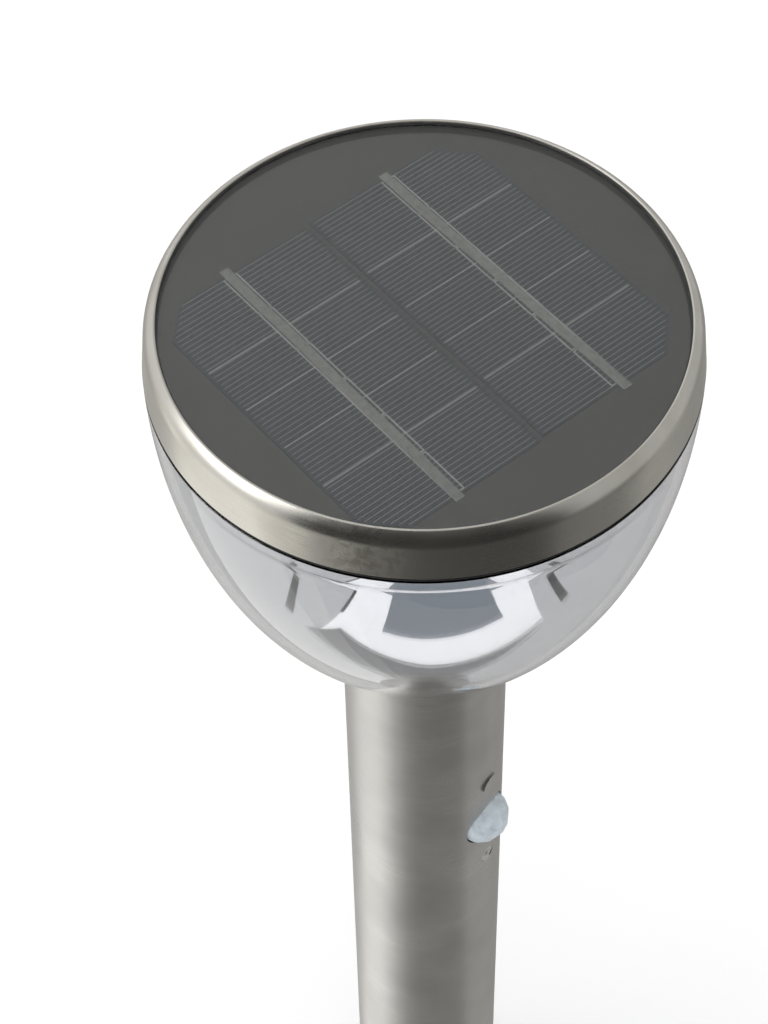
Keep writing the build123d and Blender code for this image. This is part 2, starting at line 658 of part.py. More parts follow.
with BuildPart() as cover_screws:
    with Locations((0, 0, COVER_Z)):
        with Locations(*cover_screw_points):
            Cylinder(2.8, 1.8, align=DOWN)
            Cylinder(1.5, 14, align=UP)
    with Locations((0, 0, COVER_Z - 1.8)):
        with Locations(*cover_screw_points):
            Box(3.4, 0.7, 0.9, align=UP, mode=Mode.SUBTRACT)
            Box(0.7, 3.4, 0.9, align=UP, mode=Mode.SUBTRACT)

PLUG_NOSE_Z = SOCKET_FLOOR_Z + 0.3
PLUG_TOP_Z = 575.0
with BuildPart() as head_plug:
    with Locations((0, 0, PLUG_NOSE_Z)):
        Cylinder(PLUG_R, COVER_Z - PLUG_NOSE_Z, align=UP)
    with Locations((0, 0, SOCKET_Z[1] + 0.4)):
        Cylinder(9.5, COVER_Z - SOCKET_Z[1] - 0.4, align=UP)
    with Locations((0, 0, COVER_Z)):
        Cylinder(6.0, PLUG_TOP_Z - COVER_Z, align=UP)
    with Locations((0, 0, PLUG_NOSE_Z)):
        with PolarLocations(CONTACT_PCD / 2, 4, start_angle=45):
            Hole(CONTACT_R + 0.06, depth=8)

with BuildPart() as plug_cable:
    with BuildLine():
        route = FilletPolyline(
            (0, 0, PLUG_TOP_Z), (0, 0, TERMINAL_Z), (TERMINAL_X, 0, TERMINAL_Z), radius=5.0
        )
    with BuildSketch(Plane(origin=route @ 0, z_dir=route % 0)):
        Circle(1.2)
    sweep()

with BuildPart() as battery_lead:
    with BuildLine():
        route = FilletPolyline(
            (bay_near - 1.5, -25, TERMINAL_Z),
            (3, -25, TERMINAL_Z),
            (-8, -16, TERMINAL_Z),
            (TERMINAL_X, -16, TERMINAL_Z),
            radius=6.0,
        )
    with BuildSketch(Plane(origin=route @ 0, z_dir=route % 0)):
        Circle(1.0)
    sweep()

with BuildPart() as panel_leads:
    with Locations((0, 0, BOARD_TOP_Z)):
        with Locations(*LEAD_POINTS):
            Cylinder(0.8, TRAY_TOP_Z - BOARD_TOP_Z, align=UP)

# ---------------------------------------------------------------- export
pieces = {
    "foot_pad": foot_pad,
    "base_flange": base_flange,
    "collar_screws": collar_screws,
    "post_tube": post_tube,
    "post_cap": post_cap,
    "bowl_gasket": bowl_gasket,
    "bowl": bowl,
    "bowl_screws": bowl_screws,
    "mirror_liner": mirror_liner,
    "cable_tube": cable_tube,
    "post_socket": post_socket,
    "socket_pins": socket_pins,
    "sensor_cable": sensor_cable,
    "sensor_holder": sensor_holder,
    "sensor_dome": sensor_dome,
    "sensor_board": sensor_board,
    "sensor_can": sensor_can,
    "sensor_screws": sensor_screws,
    "rim_ring": rim_ring,
    "cover_glass": cover_glass,
    "glass_gasket": glass_gasket,
    "backsheet": backsheet,
    **half_cells,
    "busbar_ribbons": busbar_ribbons,
    "head_tray": head_tray,
    "spigot_seal": spigot_seal,
    "rim_seal": rim_seal,
    "led_board": led_board,
    "leds": leds,
    "led_lens": led_lens,
    "head_cover": head_cover,
    "door_pin": door_pin,
    "battery_door": battery_door,
    "battery_holder": battery_holder,
    "battery_cells": battery_cells,
    "battery_contacts": battery_contacts,
    "control_board": control_board,
    "board_screws": board_screws,
    "board_parts": board_parts,
    "switch_body": switch_body,
    "switch_knob": switch_knob,
    "cover_screws": cover_screws,
    "head_plug": head_plug,
    "plug_cable": plug_cable,
    "battery_lead": battery_lead,
    "panel_leads": panel_leads,
}

os.makedirs("parts", exist_ok=True)
for label, piece in pieces.items():
    piece.part.label = label
    export_step(piece.part, f"parts/{label}.step")
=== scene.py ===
import logging
import math
from dataclasses import dataclass
from enum import Enum
from typing import Any, Mapping, Optional, Sequence, Union

import bmesh
import bpy
from mathutils import Matrix, Vector


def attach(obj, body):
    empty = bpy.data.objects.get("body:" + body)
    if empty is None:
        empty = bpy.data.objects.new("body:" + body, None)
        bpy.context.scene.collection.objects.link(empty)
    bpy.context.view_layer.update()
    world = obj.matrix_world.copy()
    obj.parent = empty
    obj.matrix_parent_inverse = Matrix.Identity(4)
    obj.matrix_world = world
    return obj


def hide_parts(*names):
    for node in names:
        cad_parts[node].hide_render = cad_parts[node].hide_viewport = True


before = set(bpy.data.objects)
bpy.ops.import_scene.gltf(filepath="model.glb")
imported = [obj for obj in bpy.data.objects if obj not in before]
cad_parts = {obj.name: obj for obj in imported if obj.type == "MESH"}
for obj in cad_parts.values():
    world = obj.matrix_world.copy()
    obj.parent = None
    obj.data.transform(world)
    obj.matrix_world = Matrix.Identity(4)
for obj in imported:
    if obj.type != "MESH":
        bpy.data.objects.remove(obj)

MM = 0.001  # one millimetre in metres; every other length here is in millimetres
BOWL_AXIS_Z = 581.6  # level of the widest part of the bowl's ellipse
SENSOR_LEVEL = 321.8  # level of the sensor's middle
GLASS_R = 85.2  # radius of the cover glass
GLASS_TOP = 598.6
LAMINATE_UNDER = 594.2  # underside of the dark sheet behind the cells
MERGE_GAP = 0.002 * MM  # points nearer than this are one point
RIM_SEGMENTS = 320
Colour = tuple[float, float, float]
Point = tuple[float, float]
Spot = tuple[float, float, float]
Value = Union[float, Sequence[float], bpy.types.NodeSocket]

TEA_BROWN: Colour = (0.235, 0.185, 0.135)
PALE_DUST: Colour = (0.42, 0.40, 0.37)
QUARTER_TURN = 0.25  # of a whole turn, as the shader counts it

log = logging.getLogger("solar_light")


class Body(str, Enum):
    """The moving bodies of the light."""

    STAND = "stand"
    HEAD = "head"
    DOOR = "door"
    KNOB = "knob"


class Seen(Enum):
    """What a studio card shows in."""

    IN_BOWL = "through the bowl's clear wall"
    IN_STEEL = "straight off the metal"


class Grain(Enum):
    """Which way a metal's polishing lines run."""

    ROUND_AXIS = "turned"
    NONE = "none"


# ------------------------------------------------------------------------------- shader graphs
class Graph:
    """A material's node tree, with short calls for the nodes that the finishes use."""

    def __init__(self, name: str) -> None:
        """Starts an empty tree.

        Args:
            name: the material's name.
        """
        self.material = bpy.data.materials.new(name)
        self.material.use_nodes = True
        self.tree = self.material.node_tree
        self.tree.nodes.clear()
        self._place: Optional[bpy.types.NodeSocket] = None

    def feed(self, socket: bpy.types.NodeSocket, value: Value) -> None:
        """Links a socket to another one, or sets its own value.

        Args:
            socket: the input to fill.
            value: another node's output, a number, or a colour.
        """
        if isinstance(value, bpy.types.NodeSocket):
            self.tree.links.new(value, socket)
        elif socket.type == "RGBA":
            socket.default_value = (*value[:3], 1.0)
        else:
            socket.default_value = value

    def node(
        self, kind: str, inputs: Optional[Mapping[Any, Value]] = None, **settings: Any
    ) -> bpy.types.Node:
        """Adds one shader node.

        Args:
            kind: the node's type without its ShaderNode prefix.
            inputs: values or sockets by input name or number.
            settings: the node's own properties.

        Returns:
            The new node.
        """
        made = self.tree.nodes.new("ShaderNode" + kind)
        for key, value in settings.items():
            setattr(made, key, value)
        for key, value in (inputs or {}).items():
            self.feed(made.inputs[key], value)
        return made

    def place(self) -> bpy.types.NodeSocket:
        """The point's place in the light's own frame, in metres."""
        if self._place is None:
            self._place = self.node("TexCoord").outputs["Object"]
        return self._place

    def calc(self, operation: str, first: Value, second: Value = 0.0) -> bpy.types.NodeSocket:
        """One step of arithmetic on two values."""
        return self.node("Math", {0: first, 1: second}, operation=operation).outputs[0]

    def noise(
        self,
        size: float,
        detail: float = 2.0,
        place: Optional[bpy.types.NodeSocket] = None,
        distortion: float = 0.0,
        stretch: Spot = (1.0, 1.0, 1.0),
    ) -> bpy.types.NodeSocket:
        """A cloudy pattern from 0 to 1.

        Args:
            size: the size of its features in millimetres.
            detail: how many finer octaves it has.
            place: where it is read, or None for the piece's own place.
            distortion: how much it is twisted.
            stretch: how much faster it changes along each axis.

        Returns:
            The pattern's value.
        """
        scaled = self.node("Mapping", {"Vector": place or self.place(), "Scale": stretch})
        pattern = self.node(
            "TexNoise",
            {
                "Vector": scaled.outputs[0],
                "Scale": 1.0 / (size * MM),
                "Detail": detail,
                "Distortion": distortion,
            },
        )
        return pattern.outputs["Fac"]

    def remap(
        self, value: Value, low: float, high: float, to_low: float = 0.0, to_high: float = 1.0
    ) -> bpy.types.NodeSocket:
        """Maps a range of a value onto another range, clamped at both ends."""
        inputs = {"Value": value, "From Min": low, "From Max": high, "To Min": to_low, "To Max": to_high}
        return self.node("MapRange", inputs).outputs["Result"]

    def mix(self, share: Value, first: Value, second: Value) -> bpy.types.NodeSocket:
        """Blends two colours, from the first at share 0 to the second at share 1.

        Args:
            share: how much of the second.
            first: the colour at 0.
            second: the colour at 1.

        Returns:
            The blended colour.
        """
        blend = self.node("Mix", data_type="RGBA")
        for index, value in zip((0, 6, 7), (share, first, second)):
            self.feed(blend.inputs[index], value)
        return blend.outputs[2]

    def bump(
        self, height: Value, depth: float, under: Optional[bpy.types.NodeSocket] = None
    ) -> bpy.types.NodeSocket:
        """A bumped normal.

        Args:
            height: the pattern that stands out, from 0 to 1.
            depth: how far it stands out, in millimetres.
            under: a bumped normal that this one adds to.

        Returns:
            The normal.
        """
        inputs: dict[str, Value] = {"Height": height, "Distance": depth * MM, "Strength": 1.0}
        if under is not None:
            inputs["Normal"] = under
        return self.node("Bump", inputs).outputs["Normal"]

    def distance_from(self, spot: Spot) -> bpy.types.NodeSocket:
        """Distance in metres from a spot given in millimetres.

        Args:
            spot: the spot.

        Returns:
            The distance.
        """
        centre = tuple(value * MM for value in spot)
        return self.node(
            "VectorMath", {0: self.place(), 1: centre}, operation="DISTANCE"
        ).outputs["Value"]

    def turned_place(self, run: float) -> bpy.types.NodeSocket:
        """A place that changes fast up and outwards, and slowly round the axis.

        Args:
            run: how many times longer than wide the lines are.

        Returns:
            The stretched place.
        """
        parts = self.node("SeparateXYZ", {0: self.place()}).outputs
        across = self.node("CombineXYZ", {"X": parts["X"], "Y": parts["Y"]}).outputs[0]
        radius = self.node("VectorMath", {0: across}, operation="LENGTH").outputs["Value"]
        slow_x = self.calc("DIVIDE", parts["X"], run)
        slow_y = self.calc("DIVIDE", parts["Y"], run)
        fast = self.calc("ADD", parts["Z"], radius)
        return self.node("CombineXYZ", {"X": slow_x, "Y": slow_y, "Z": fast}).outputs[0]

    def principled(self, inputs: Mapping[str, Value]) -> bpy.types.NodeSocket:
        """A Principled shader with these inputs."""
        return self.node("BsdfPrincipled", inputs).outputs[0]

    def lit_through(self, shader: bpy.types.NodeSocket, tint: Colour) -> bpy.types.NodeSocket:
        """Lets lamps reach what is behind clear material.

        Args:
            shader: the clear material's own shader.
            tint: what it takes from the light.

        Returns:
            The shader with its open way.
        """
        open_way = self.node("BsdfTransparent", {"Color": tint}).outputs[0]
        shadow = self.node("LightPath").outputs["Is Shadow Ray"]
        return self.node("MixShader", {0: shadow, 1: shader, 2: open_way}).outputs[0]

    def done(self, shader: bpy.types.NodeSocket) -> bpy.types.Material:
        """Sends a shader to the output and returns the material."""
        self.node("OutputMaterial", {"Surface": shader})
        return self.material


# ------------------------------------------------------------------------------- finishes
@dataclass(frozen=True)
class Finish:
    """What every finish has: a name, a colour, a roughness and the record's slot that it fills."""

    name: str
    colour: Colour
    roughness: float = 0.4

    def fills(self) -> str:
        """The record's material slot that this finish belongs to."""
        return self.name

    def material(self) -> bpy.types.Material:
        """The finish's material, made the first time it is asked for."""
        own_name = "finish_" + self.name
        return bpy.data.materials.get(own_name) or self.build(Graph(own_name))

    def build(self, graph: Graph) -> bpy.types.Material:
        """Makes the finish's nodes in an empty graph."""
        raise NotImplementedError

    def shade(self, factor: float) -> Colour:
        """The finish's colour, darker or lighter by a factor."""
        red, green, blue = self.colour
        return (red * factor, green * factor, blue * factor)


@dataclass(frozen=True)
class Steel(Finish):
    """Stainless steel, with turned polishing lines, smudges and, if asked, tea-coloured stains."""

    grain: Grain = Grain.ROUND_AXIS
    line_depth: float = 0.0015
    anisotropy: float = 0.5
    stain: float = 0.0
    stain_at: Spot = (0.0, 0.0, 0.0)
    stain_reach: float = 15.0

    def build(self, graph: Graph) -> bpy.types.Material:
        """Makes the polishing lines, the smudges and the stains.

        Args:
            graph: the empty graph to fill.

        Returns:
            The material.
        """
        smudge = graph.noise(35.0, 4.0)
        roughness = graph.remap(smudge, 0.3, 0.7, self.roughness * 0.85, self.roughness * 1.2)
        colour = graph.mix(graph.remap(smudge, 0.35, 0.7), self.colour, self.shade(0.9))
        inputs: dict[str, Value] = {"Metallic": 1.0}
        if self.grain is Grain.ROUND_AXIS:
            fine_lines = graph.noise(0.18, 3.0, graph.turned_place(60.0))
            wide_lines = graph.noise(0.7, 2.0, graph.turned_place(60.0))
            both = graph.calc("ADD", fine_lines, graph.calc("MULTIPLY", wide_lines, 0.4))
            roughness = graph.calc("ADD", roughness, graph.remap(both, 0.5, 0.9, -0.03, 0.03))
            colour = graph.mix(graph.remap(both, 0.5, 0.9, 0.0, 0.22), colour, self.shade(0.75))
            inputs["Normal"] = graph.bump(both, self.line_depth)
            inputs["Anisotropic"] = self.anisotropy
            inputs["Anisotropic Rotation"] = QUARTER_TURN
            inputs["Tangent"] = graph.node("Tangent", direction_type="RADIAL", axis="Z").outputs[0]
        else:
            inputs["Normal"] = graph.bump(graph.noise(0.5, 3.0), self.line_depth)
        if self.stain > 0.0:
            colour, roughness = self.stained(graph, colour, roughness)
        inputs["Base Color"] = colour
        inputs["Roughness"] = roughness
        return graph.done(graph.principled(inputs))

    def stained(
        self, graph: Graph, colour: bpy.types.NodeSocket, roughness: bpy.types.NodeSocket
    ) -> tuple[bpy.types.NodeSocket, bpy.types.NodeSocket]:
        """Adds brown weathering: one blotch near a spot, and a faint film in places.

        Args:
            graph: the graph to add to.
            colour: the clean colour.
            roughness: the clean roughness.

        Returns:
            The weathered colour and roughness.
        """
        near = graph.remap(graph.distance_from(self.stain_at), 0.2 * self.stain_reach * MM,
                           self.stain_reach * MM, 1.0, 0.0)
        blotches = graph.remap(graph.noise(3.0, 5.0, distortion=0.6), 0.42, 0.6)
        film = graph.remap(graph.noise(22.0, 5.0), 0.5, 0.75, 0.0, 0.35)
        amount = graph.calc("MAXIMUM", graph.calc("MULTIPLY", near, blotches), film)
        amount = graph.calc("MULTIPLY", amount, self.stain)
        rougher = graph.calc("MULTIPLY", amount, 0.25)
        return graph.mix(amount, colour, TEA_BROWN), graph.calc("ADD", roughness, rougher)


@dataclass(frozen=True)
class Mirror(Finish):
    """A vacuum-metallised coat, which follows the small waves of the plastic under it."""

    wave_size: float = 38.0
    wave_depth: float = 0.25

    def build(self, graph: Graph) -> bpy.types.Material:
        """Makes the coat's slow waves, haze and pinholes.

        Args:
            graph: the empty graph to fill.

        Returns:
            The material.
        """
        waves = graph.noise(self.wave_size, 1.0, stretch=(1.0, 1.0, 0.7))
        haze = graph.remap(graph.noise(55.0, 3.0), 0.35, 0.7, self.roughness, self.roughness * 2.2)
        tone = graph.mix(graph.remap(graph.noise(70.0, 2.0), 0.35, 0.65), self.colour, self.shade(0.95))
        return graph.done(graph.principled({
            "Base Color": tone,
            "Metallic": 1.0,
            "Roughness": haze,
            "Normal": graph.bump(waves, self.wave_depth),
        }))


@dataclass(frozen=True)
class Clear(Finish):
    """Clear glass or moulded plastic that lamps shine through."""

    index: float = 1.5
    ripple: float = 0.02

    def build(self, graph: Graph) -> bpy.types.Material:
        """Makes the clear body, its drift of tone and its faint ripple.

        Args:
            graph: the empty graph to fill.

        Returns:
            The material.
        """
        drift = graph.remap(graph.noise(24.0, 4.0), 0.4, 0.7)
        shader = graph.principled({
            "Base Color": graph.mix(drift, self.colour, self.shade(0.985)),
            "Roughness": self.roughness,
            "IOR": self.index,
            "Transmission Weight": 1.0,
            "Normal": graph.bump(graph.noise(26.0, 1.0), self.ripple),
        })
        return graph.done(graph.lit_through(shader, self.colour))


@dataclass(frozen=True)
class Silicon(Finish):
    """Blue-grey silicon of a solar cell, slightly clouded."""

    def build(self, graph: Graph) -> bpy.types.Material:
        """Makes the cloudy tone and the etched grain.

        Args:
            graph: the empty graph to fill.

        Returns:
            The material.
        """
        cloud = graph.remap(graph.noise(18.0, 3.0), 0.3, 0.7)
        fleck = graph.remap(graph.noise(0.8, 2.0), 0.35, 0.65, 0.0, 0.4)
        tone = graph.mix(cloud, self.shade(0.9), self.shade(1.12))
        tone = graph.mix(fleck, tone, self.shade(1.25))
        return graph.done(graph.principled({
            "Base Color": tone,
            "Roughness": graph.remap(cloud, 0.0, 1.0, self.roughness, self.roughness + 0.12),
            "Specular IOR Level": 0.1,
            "Normal": graph.bump(graph.noise(0.35, 2.0), 0.01),
        }))


@dataclass(frozen=True)
class Printed(Finish):
    """Silver paste or tinned ribbon, dulled behind glass."""

    slot: str = "ribbon"
    mottle: float = 1.2

    def fills(self) -> str:
        """The record's material slot that this finish belongs to."""
        return self.slot

    def build(self, graph: Graph) -> bpy.types.Material:
        """Makes the mottled metal.

        Args:
            graph: the empty graph to fill.

        Returns:
            The material.
        """
        patch = graph.remap(graph.noise(self.mottle, 4.0), 0.3, 0.7)
        return graph.done(graph.principled({
            "Base Color": graph.mix(patch, self.shade(0.75), self.shade(1.2)),
            "Roughness": graph.remap(patch, 0.0, 1.0, self.roughness - 0.1, self.roughness + 0.15),
            "Specular IOR Level": 0.2,
            "Normal": graph.bump(graph.noise(0.5, 3.0), 0.02),
        }))


@dataclass(frozen=True)
class Moulded(Finish):
    """Moulded plastic or rubber: a fine skin grain, a little sheen of wear and dust."""

    grain_size: float = 0.45
    grain_depth: float = 0.03
    coat: float = 0.0
    dust: float = 0.08
    shine: float = 0.5

    def build(self, graph: Graph) -> bpy.types.Material:
        """Makes the skin grain and the tone's slow drift.

        Args:
            graph: the empty graph to fill.

        Returns:
            The material.
        """
        drift = graph.remap(graph.noise(30.0, 4.0), 0.35, 0.7)
        powder = graph.remap(graph.noise(7.0, 6.0), 0.5, 0.8, 0.0, self.dust)
        tone = graph.mix(drift, self.shade(0.92), self.shade(1.08))
        dusty = graph.mix(powder, tone, PALE_DUST)
        skin = graph.noise(self.grain_size, 2.0)
        return graph.done(graph.principled({
            "Base Color": dusty,
            "Roughness": graph.remap(drift, 0.0, 1.0, self.roughness - 0.05, self.roughness + 0.08),
            "Specular IOR Level": self.shine,
            "Coat Weight": self.coat,
            "Coat Roughness": 0.12,
            "Normal": graph.bump(skin, self.grain_depth),
        }))


@dataclass(frozen=True)
class Frosted(Finish):
    """Cloudy polythene or opal plastic that glows softly where light falls on it."""

    depth: float = 2.0
    cloud_size: float = 5.0

    def build(self, graph: Graph) -> bpy.types.Material:
        """Makes the cloud inside and the uneven skin.

        Args:
            graph: the empty graph to fill.

        Returns:
            The material.
        """
        cloud = graph.remap(graph.noise(self.cloud_size, 5.0, distortion=0.4), 0.35, 0.65)
        return graph.done(graph.principled({
            "Base Color": graph.mix(cloud, self.shade(0.72), self.colour),
            "Roughness": graph.remap(cloud, 0.0, 1.0, self.roughness + 0.12, self.roughness - 0.08),
            "Subsurface Weight": 0.6,
            "Subsurface Radius": (1.0, 1.0, 1.0),
            "Subsurface Scale": self.depth * MM,
            "Normal": graph.bump(graph.noise(self.cloud_size * 0.3, 3.0), 0.08),
        }))


@dataclass(frozen=True)
class Board(Finish):
    """A circuit board: solder mask with tracks showing through."""

    track: Colour = (0.2, 0.4, 0.2)

    def build(self, graph: Graph) -> bpy.types.Material:
        """Makes the tracks from a stepped pattern under the mask.

        Args:
            graph: the empty graph to fill.

        Returns:
            The material.
        """
        pattern = graph.node("TexBrick", {
            "Vector": graph.place(),
            "Scale": 1.0,
            "Brick Width": 6.0 * MM,
            "Row Height": 2.2 * MM,
            "Mortar Size": 0.4 * MM,
            "Mortar Smooth": 0.1,
            "Color1": (0.0, 0.0, 0.0),
            "Color2": (0.1, 0.1, 0.1),
            "Mortar": (1.0, 1.0, 1.0),
        })
        tone = graph.mix(pattern.outputs["Fac"], self.colour, self.track)
        return graph.done(graph.principled({
            "Base Color": tone,
            "Roughness": graph.remap(graph.noise(6.0, 3.0), 0.3, 0.7, self.roughness, self.roughness + 0.1),
            "Coat Weight": 0.5,
            "Coat Roughness": 0.1,
            "Normal": graph.bump(pattern.outputs["Fac"], 0.03),
        }))


@dataclass(frozen=True)
class Flat(Finish):
    """A plain matt colour for the studio only."""

    def build(self, graph: Graph) -> bpy.types.Material:
        """Makes the matt colour."""
        return graph.done(graph.node("BsdfDiffuse", {"Color": self.colour}).outputs[0])


@dataclass(frozen=True)
class Glow(Finish):
    """A plain lit colour for the studio's reflection cards."""

    strength: float = 1.0

    def build(self, graph: Graph) -> bpy.types.Material:
        """Makes the lit colour."""
        lit = graph.node("Emission", {"Color": self.colour, "Strength": self.strength})
        return graph.done(lit.outputs[0])


STAIN_SPOT = (-82.0, -37.0, 590.0)
BRUSHED_POST = Steel("brushed_post", (0.62, 0.61, 0.59), 0.31, anisotropy=0.7)
RIM_STEEL = Steel(
    "rim_steel", (0.63, 0.612, 0.56), 0.28, anisotropy=0.4, stain=0.5, stain_at=STAIN_SPOT,
    stain_reach=17.0,
)
FLANGE_STEEL = Steel("flange_steel", (0.60, 0.59, 0.57), 0.35, anisotropy=0.4)
SCREW_STEEL = Steel("screw_steel", (0.72, 0.72, 0.71), 0.22, Grain.NONE, line_depth=0.006)
CONDUIT_METAL = Steel("conduit_metal", (0.74, 0.74, 0.75), 0.14, anisotropy=0.2, line_depth=0.002)
CAP_METAL = Steel("cap_metal", (0.62, 0.62, 0.62), 0.5, Grain.NONE, line_depth=0.05)
CAN_STEEL = Steel("can_steel", (0.68, 0.67, 0.65), 0.2, Grain.NONE)
CONTACT_NICKEL = Steel("contact_nickel", (0.70, 0.67, 0.60), 0.25, Grain.NONE)
PIN_GOLD = Steel("pin_gold", (0.83, 0.62, 0.26), 0.2, Grain.NONE)
HALF_MIRROR = Mirror("half_mirror", (0.74, 0.745, 0.765), 0.022)
CLEAR_BOWL = Clear("clear_bowl", (0.975, 0.98, 0.99), 0.0, index=1.49, ripple=0.04)
SOLAR_GLASS = Clear("solar_glass", (0.96, 0.975, 0.97), 0.0, index=1.5, ripple=0.004)
SOLAR_CELL = Silicon("solar_cell", (0.010, 0.0125, 0.0145), 0.35)
SILVER_PRINT = Printed("silver_print", (0.135, 0.135, 0.128), 0.5, slot="ribbon")
RIBBON = Printed("ribbon", (0.075, 0.075, 0.069), 0.5, slot="ribbon", mottle=2.5)
BACKSHEET = Moulded(
    "backsheet", (0.022, 0.022, 0.0195), 0.5, grain_size=0.9, grain_depth=0.02, dust=0.004, shine=0.1
)
BLACK_RUBBER = Moulded("black_rubber", (0.014, 0.014, 0.015), 0.55, dust=0.05)
PAD_RUBBER = Moulded("pad_rubber", (0.03, 0.03, 0.03), 0.7, grain_size=0.9, grain_depth=0.08)
CLEAR_SILICONE = Moulded("clear_silicone", (0.42, 0.42, 0.42), 0.5)
TRAY_PLASTIC = Moulded("tray_plastic", (0.028, 0.028, 0.03), 0.45)
DOOR_PLASTIC = Moulded("door_plastic", (0.033, 0.033, 0.036), 0.42)
INNER_PLASTIC = Moulded("inner_plastic", (0.68, 0.68, 0.65), 0.4, coat=0.2)
KNOB_PLASTIC = Moulded("knob_plastic", (0.70, 0.70, 0.68), 0.35, coat=0.3)
CONNECTOR_PLASTIC = Moulded("connector_plastic", (0.02, 0.02, 0.022), 0.3, coat=0.3, grain_depth=0.01)
CHIP_BLACK = Moulded("chip_black", (0.02, 0.02, 0.021), 0.5, grain_size=0.2)
CELL_WRAP = Moulded("cell_wrap", (0.03, 0.16, 0.36), 0.3, coat=0.6, grain_depth=0.01, dust=0.02)
CABLE_BLACK = Moulded("cable_black", (0.018, 0.018, 0.018), 0.5, grain_size=0.3)
LEAD_RED = Moulded("lead_red", (0.42, 0.02, 0.02), 0.35, grain_size=0.3, dust=0.02)
LED_YELLOW = Moulded("led_yellow", (0.80, 0.60, 0.10), 0.35, grain_size=0.2, dust=0.0)
DOME_PLASTIC = Frosted("dome_plastic", (0.66, 0.74, 0.80), 0.3, depth=1.5, cloud_size=5.0)
OPAL_LENS = Frosted("opal_lens", (0.84, 0.84, 0.81), 0.35, depth=2.5, cloud_size=20.0)
BOARD_GREEN = Board("board_green", (0.012, 0.10, 0.035), 0.3, track=(0.03, 0.22, 0.08))
BOARD_WHITE = Board("board_white", (0.76, 0.76, 0.74), 0.35, track=(0.66, 0.66, 0.64))


# ------------------------------------------------------------------------------- shapes
def arc(centre: Point, radius: float, start: float, end: float, steps: int = 12) -> list[Point]:
    """Points of a circular arc in a profile.

    Args:
        centre: its centre as radius and height.
        radius: its radius.
        start: first angle in degrees.
        end: last angle in degrees.
        steps: how many chords it has.

    Returns:
        The points, both ends included.
    """
    angles = [math.radians(start + (end - start) * step / steps) for step in range(steps + 1)]
    return [(centre[0] + radius * math.cos(a), centre[1] + radius * math.sin(a)) for a in angles]


def bowl_curve(radius: float, drop: float, top: float, bottom: float, steps: int = 96) -> list[Point]:
    """Points of a bowl wall's ellipse, from its top level to its bottom one.

    Args:
        radius: the ellipse's half width.
        drop: the ellipse's half height.
        top: highest level.
        bottom: lowest level.
        steps: how many chords it has.

    Returns:
        The points, both ends included.
    """
    start = math.asin((BOWL_AXIS_Z - top) / drop)
    end = math.asin((BOWL_AXIS_Z - bottom) / drop)
    turns = [start + (end - start) * step / steps for step in range(steps + 1)]
    return [(radius * math.cos(t), BOWL_AXIS_Z - drop * math.sin(t)) for t in turns]


def smooth(thing: bpy.types.Object, sharp: float = 32.0) -> bpy.types.Object:
    """Shades a mesh smooth except across its sharp edges.

    Args:
        thing: the mesh object.
        sharp: the angle in degrees from which an edge is sharp.

    Returns:
        The same object.
    """
    thing.data.shade_smooth()
    thing.data.set_sharp_from_angle(angle=math.radians(sharp))
    return thing


def new_object(name: str, mesh: bpy.types.Mesh) -> bpy.types.Object:
    """Puts a mesh in the scene as an object at the origin.

    Args:
        name: the object's name.
        mesh: its mesh.

    Returns:
        The object.
    """
    thing = bpy.data.objects.new(name, mesh)
    bpy.context.scene.collection.objects.link(thing)
    return thing


def from_points(
    name: str, points: Sequence[Sequence[float]], faces: Sequence[Sequence[int]]
) -> bpy.types.Object:
    """Makes a mesh object from points in millimetres, with its normals outward.

    Args:
        name: the object's name.
        points: its points.
        faces: its faces as point numbers.

    Returns:
        The object.
    """
    mesh = bpy.data.meshes.new(name)
    mesh.from_pydata([Vector(point) * MM for point in points], [], faces)
    shell = bmesh.new()
    shell.from_mesh(mesh)
    bmesh.ops.recalc_face_normals(shell, faces=shell.faces)
    shell.to_mesh(mesh)
    shell.free()
    return new_object(name, mesh)


def revolve(
    name: str, profile: Sequence[Point], segments: int = 256, place: Optional[Matrix] = None
) -> bpy.types.Object:
    """Turns a closed profile round its axis.

    Args:
        name: the object's name.
        profile: its corners as radius and height, in order.
        segments: how many steps it turns in.
        place: where the axis goes, in millimetres, or None for the vertical one at the origin.

    Returns:
        The closed mesh.
    """
    seat = place or Matrix.Identity(4)
    rings: list[list[int]] = []
    points: list[Vector] = []
    for radius, height in profile:
        turns = 1 if radius == 0.0 else segments
        rings.append(list(range(len(points), len(points) + turns)))
        for step in range(turns):
            angle = 2.0 * math.pi * step / segments
            local = Vector((radius * math.cos(angle), radius * math.sin(angle), height))
            points.append(seat @ local)
    faces: list[list[int]] = []
    for ring, following in zip(rings, rings[1:] + rings[:1]):
        if len(ring) == 1 and len(following) == 1:
            continue
        for step in range(segments):
            ahead = (step + 1) % segments
            corners = [
                ring[step % len(ring)],
                ring[ahead % len(ring)],
                following[ahead % len(following)],
                following[step % len(following)],
            ]
            faces.append(list(dict.fromkeys(corners)))
    return smooth(from_points(name, points, faces))


def facing_front(y: float, z: float) -> Matrix:
    """Seat of a turned piece whose axis points out along -Y from a place on the post's centre plane."""
    return Matrix.Translation((0.0, y, z)) @ Matrix.Rotation(math.radians(90.0), 4, "X")


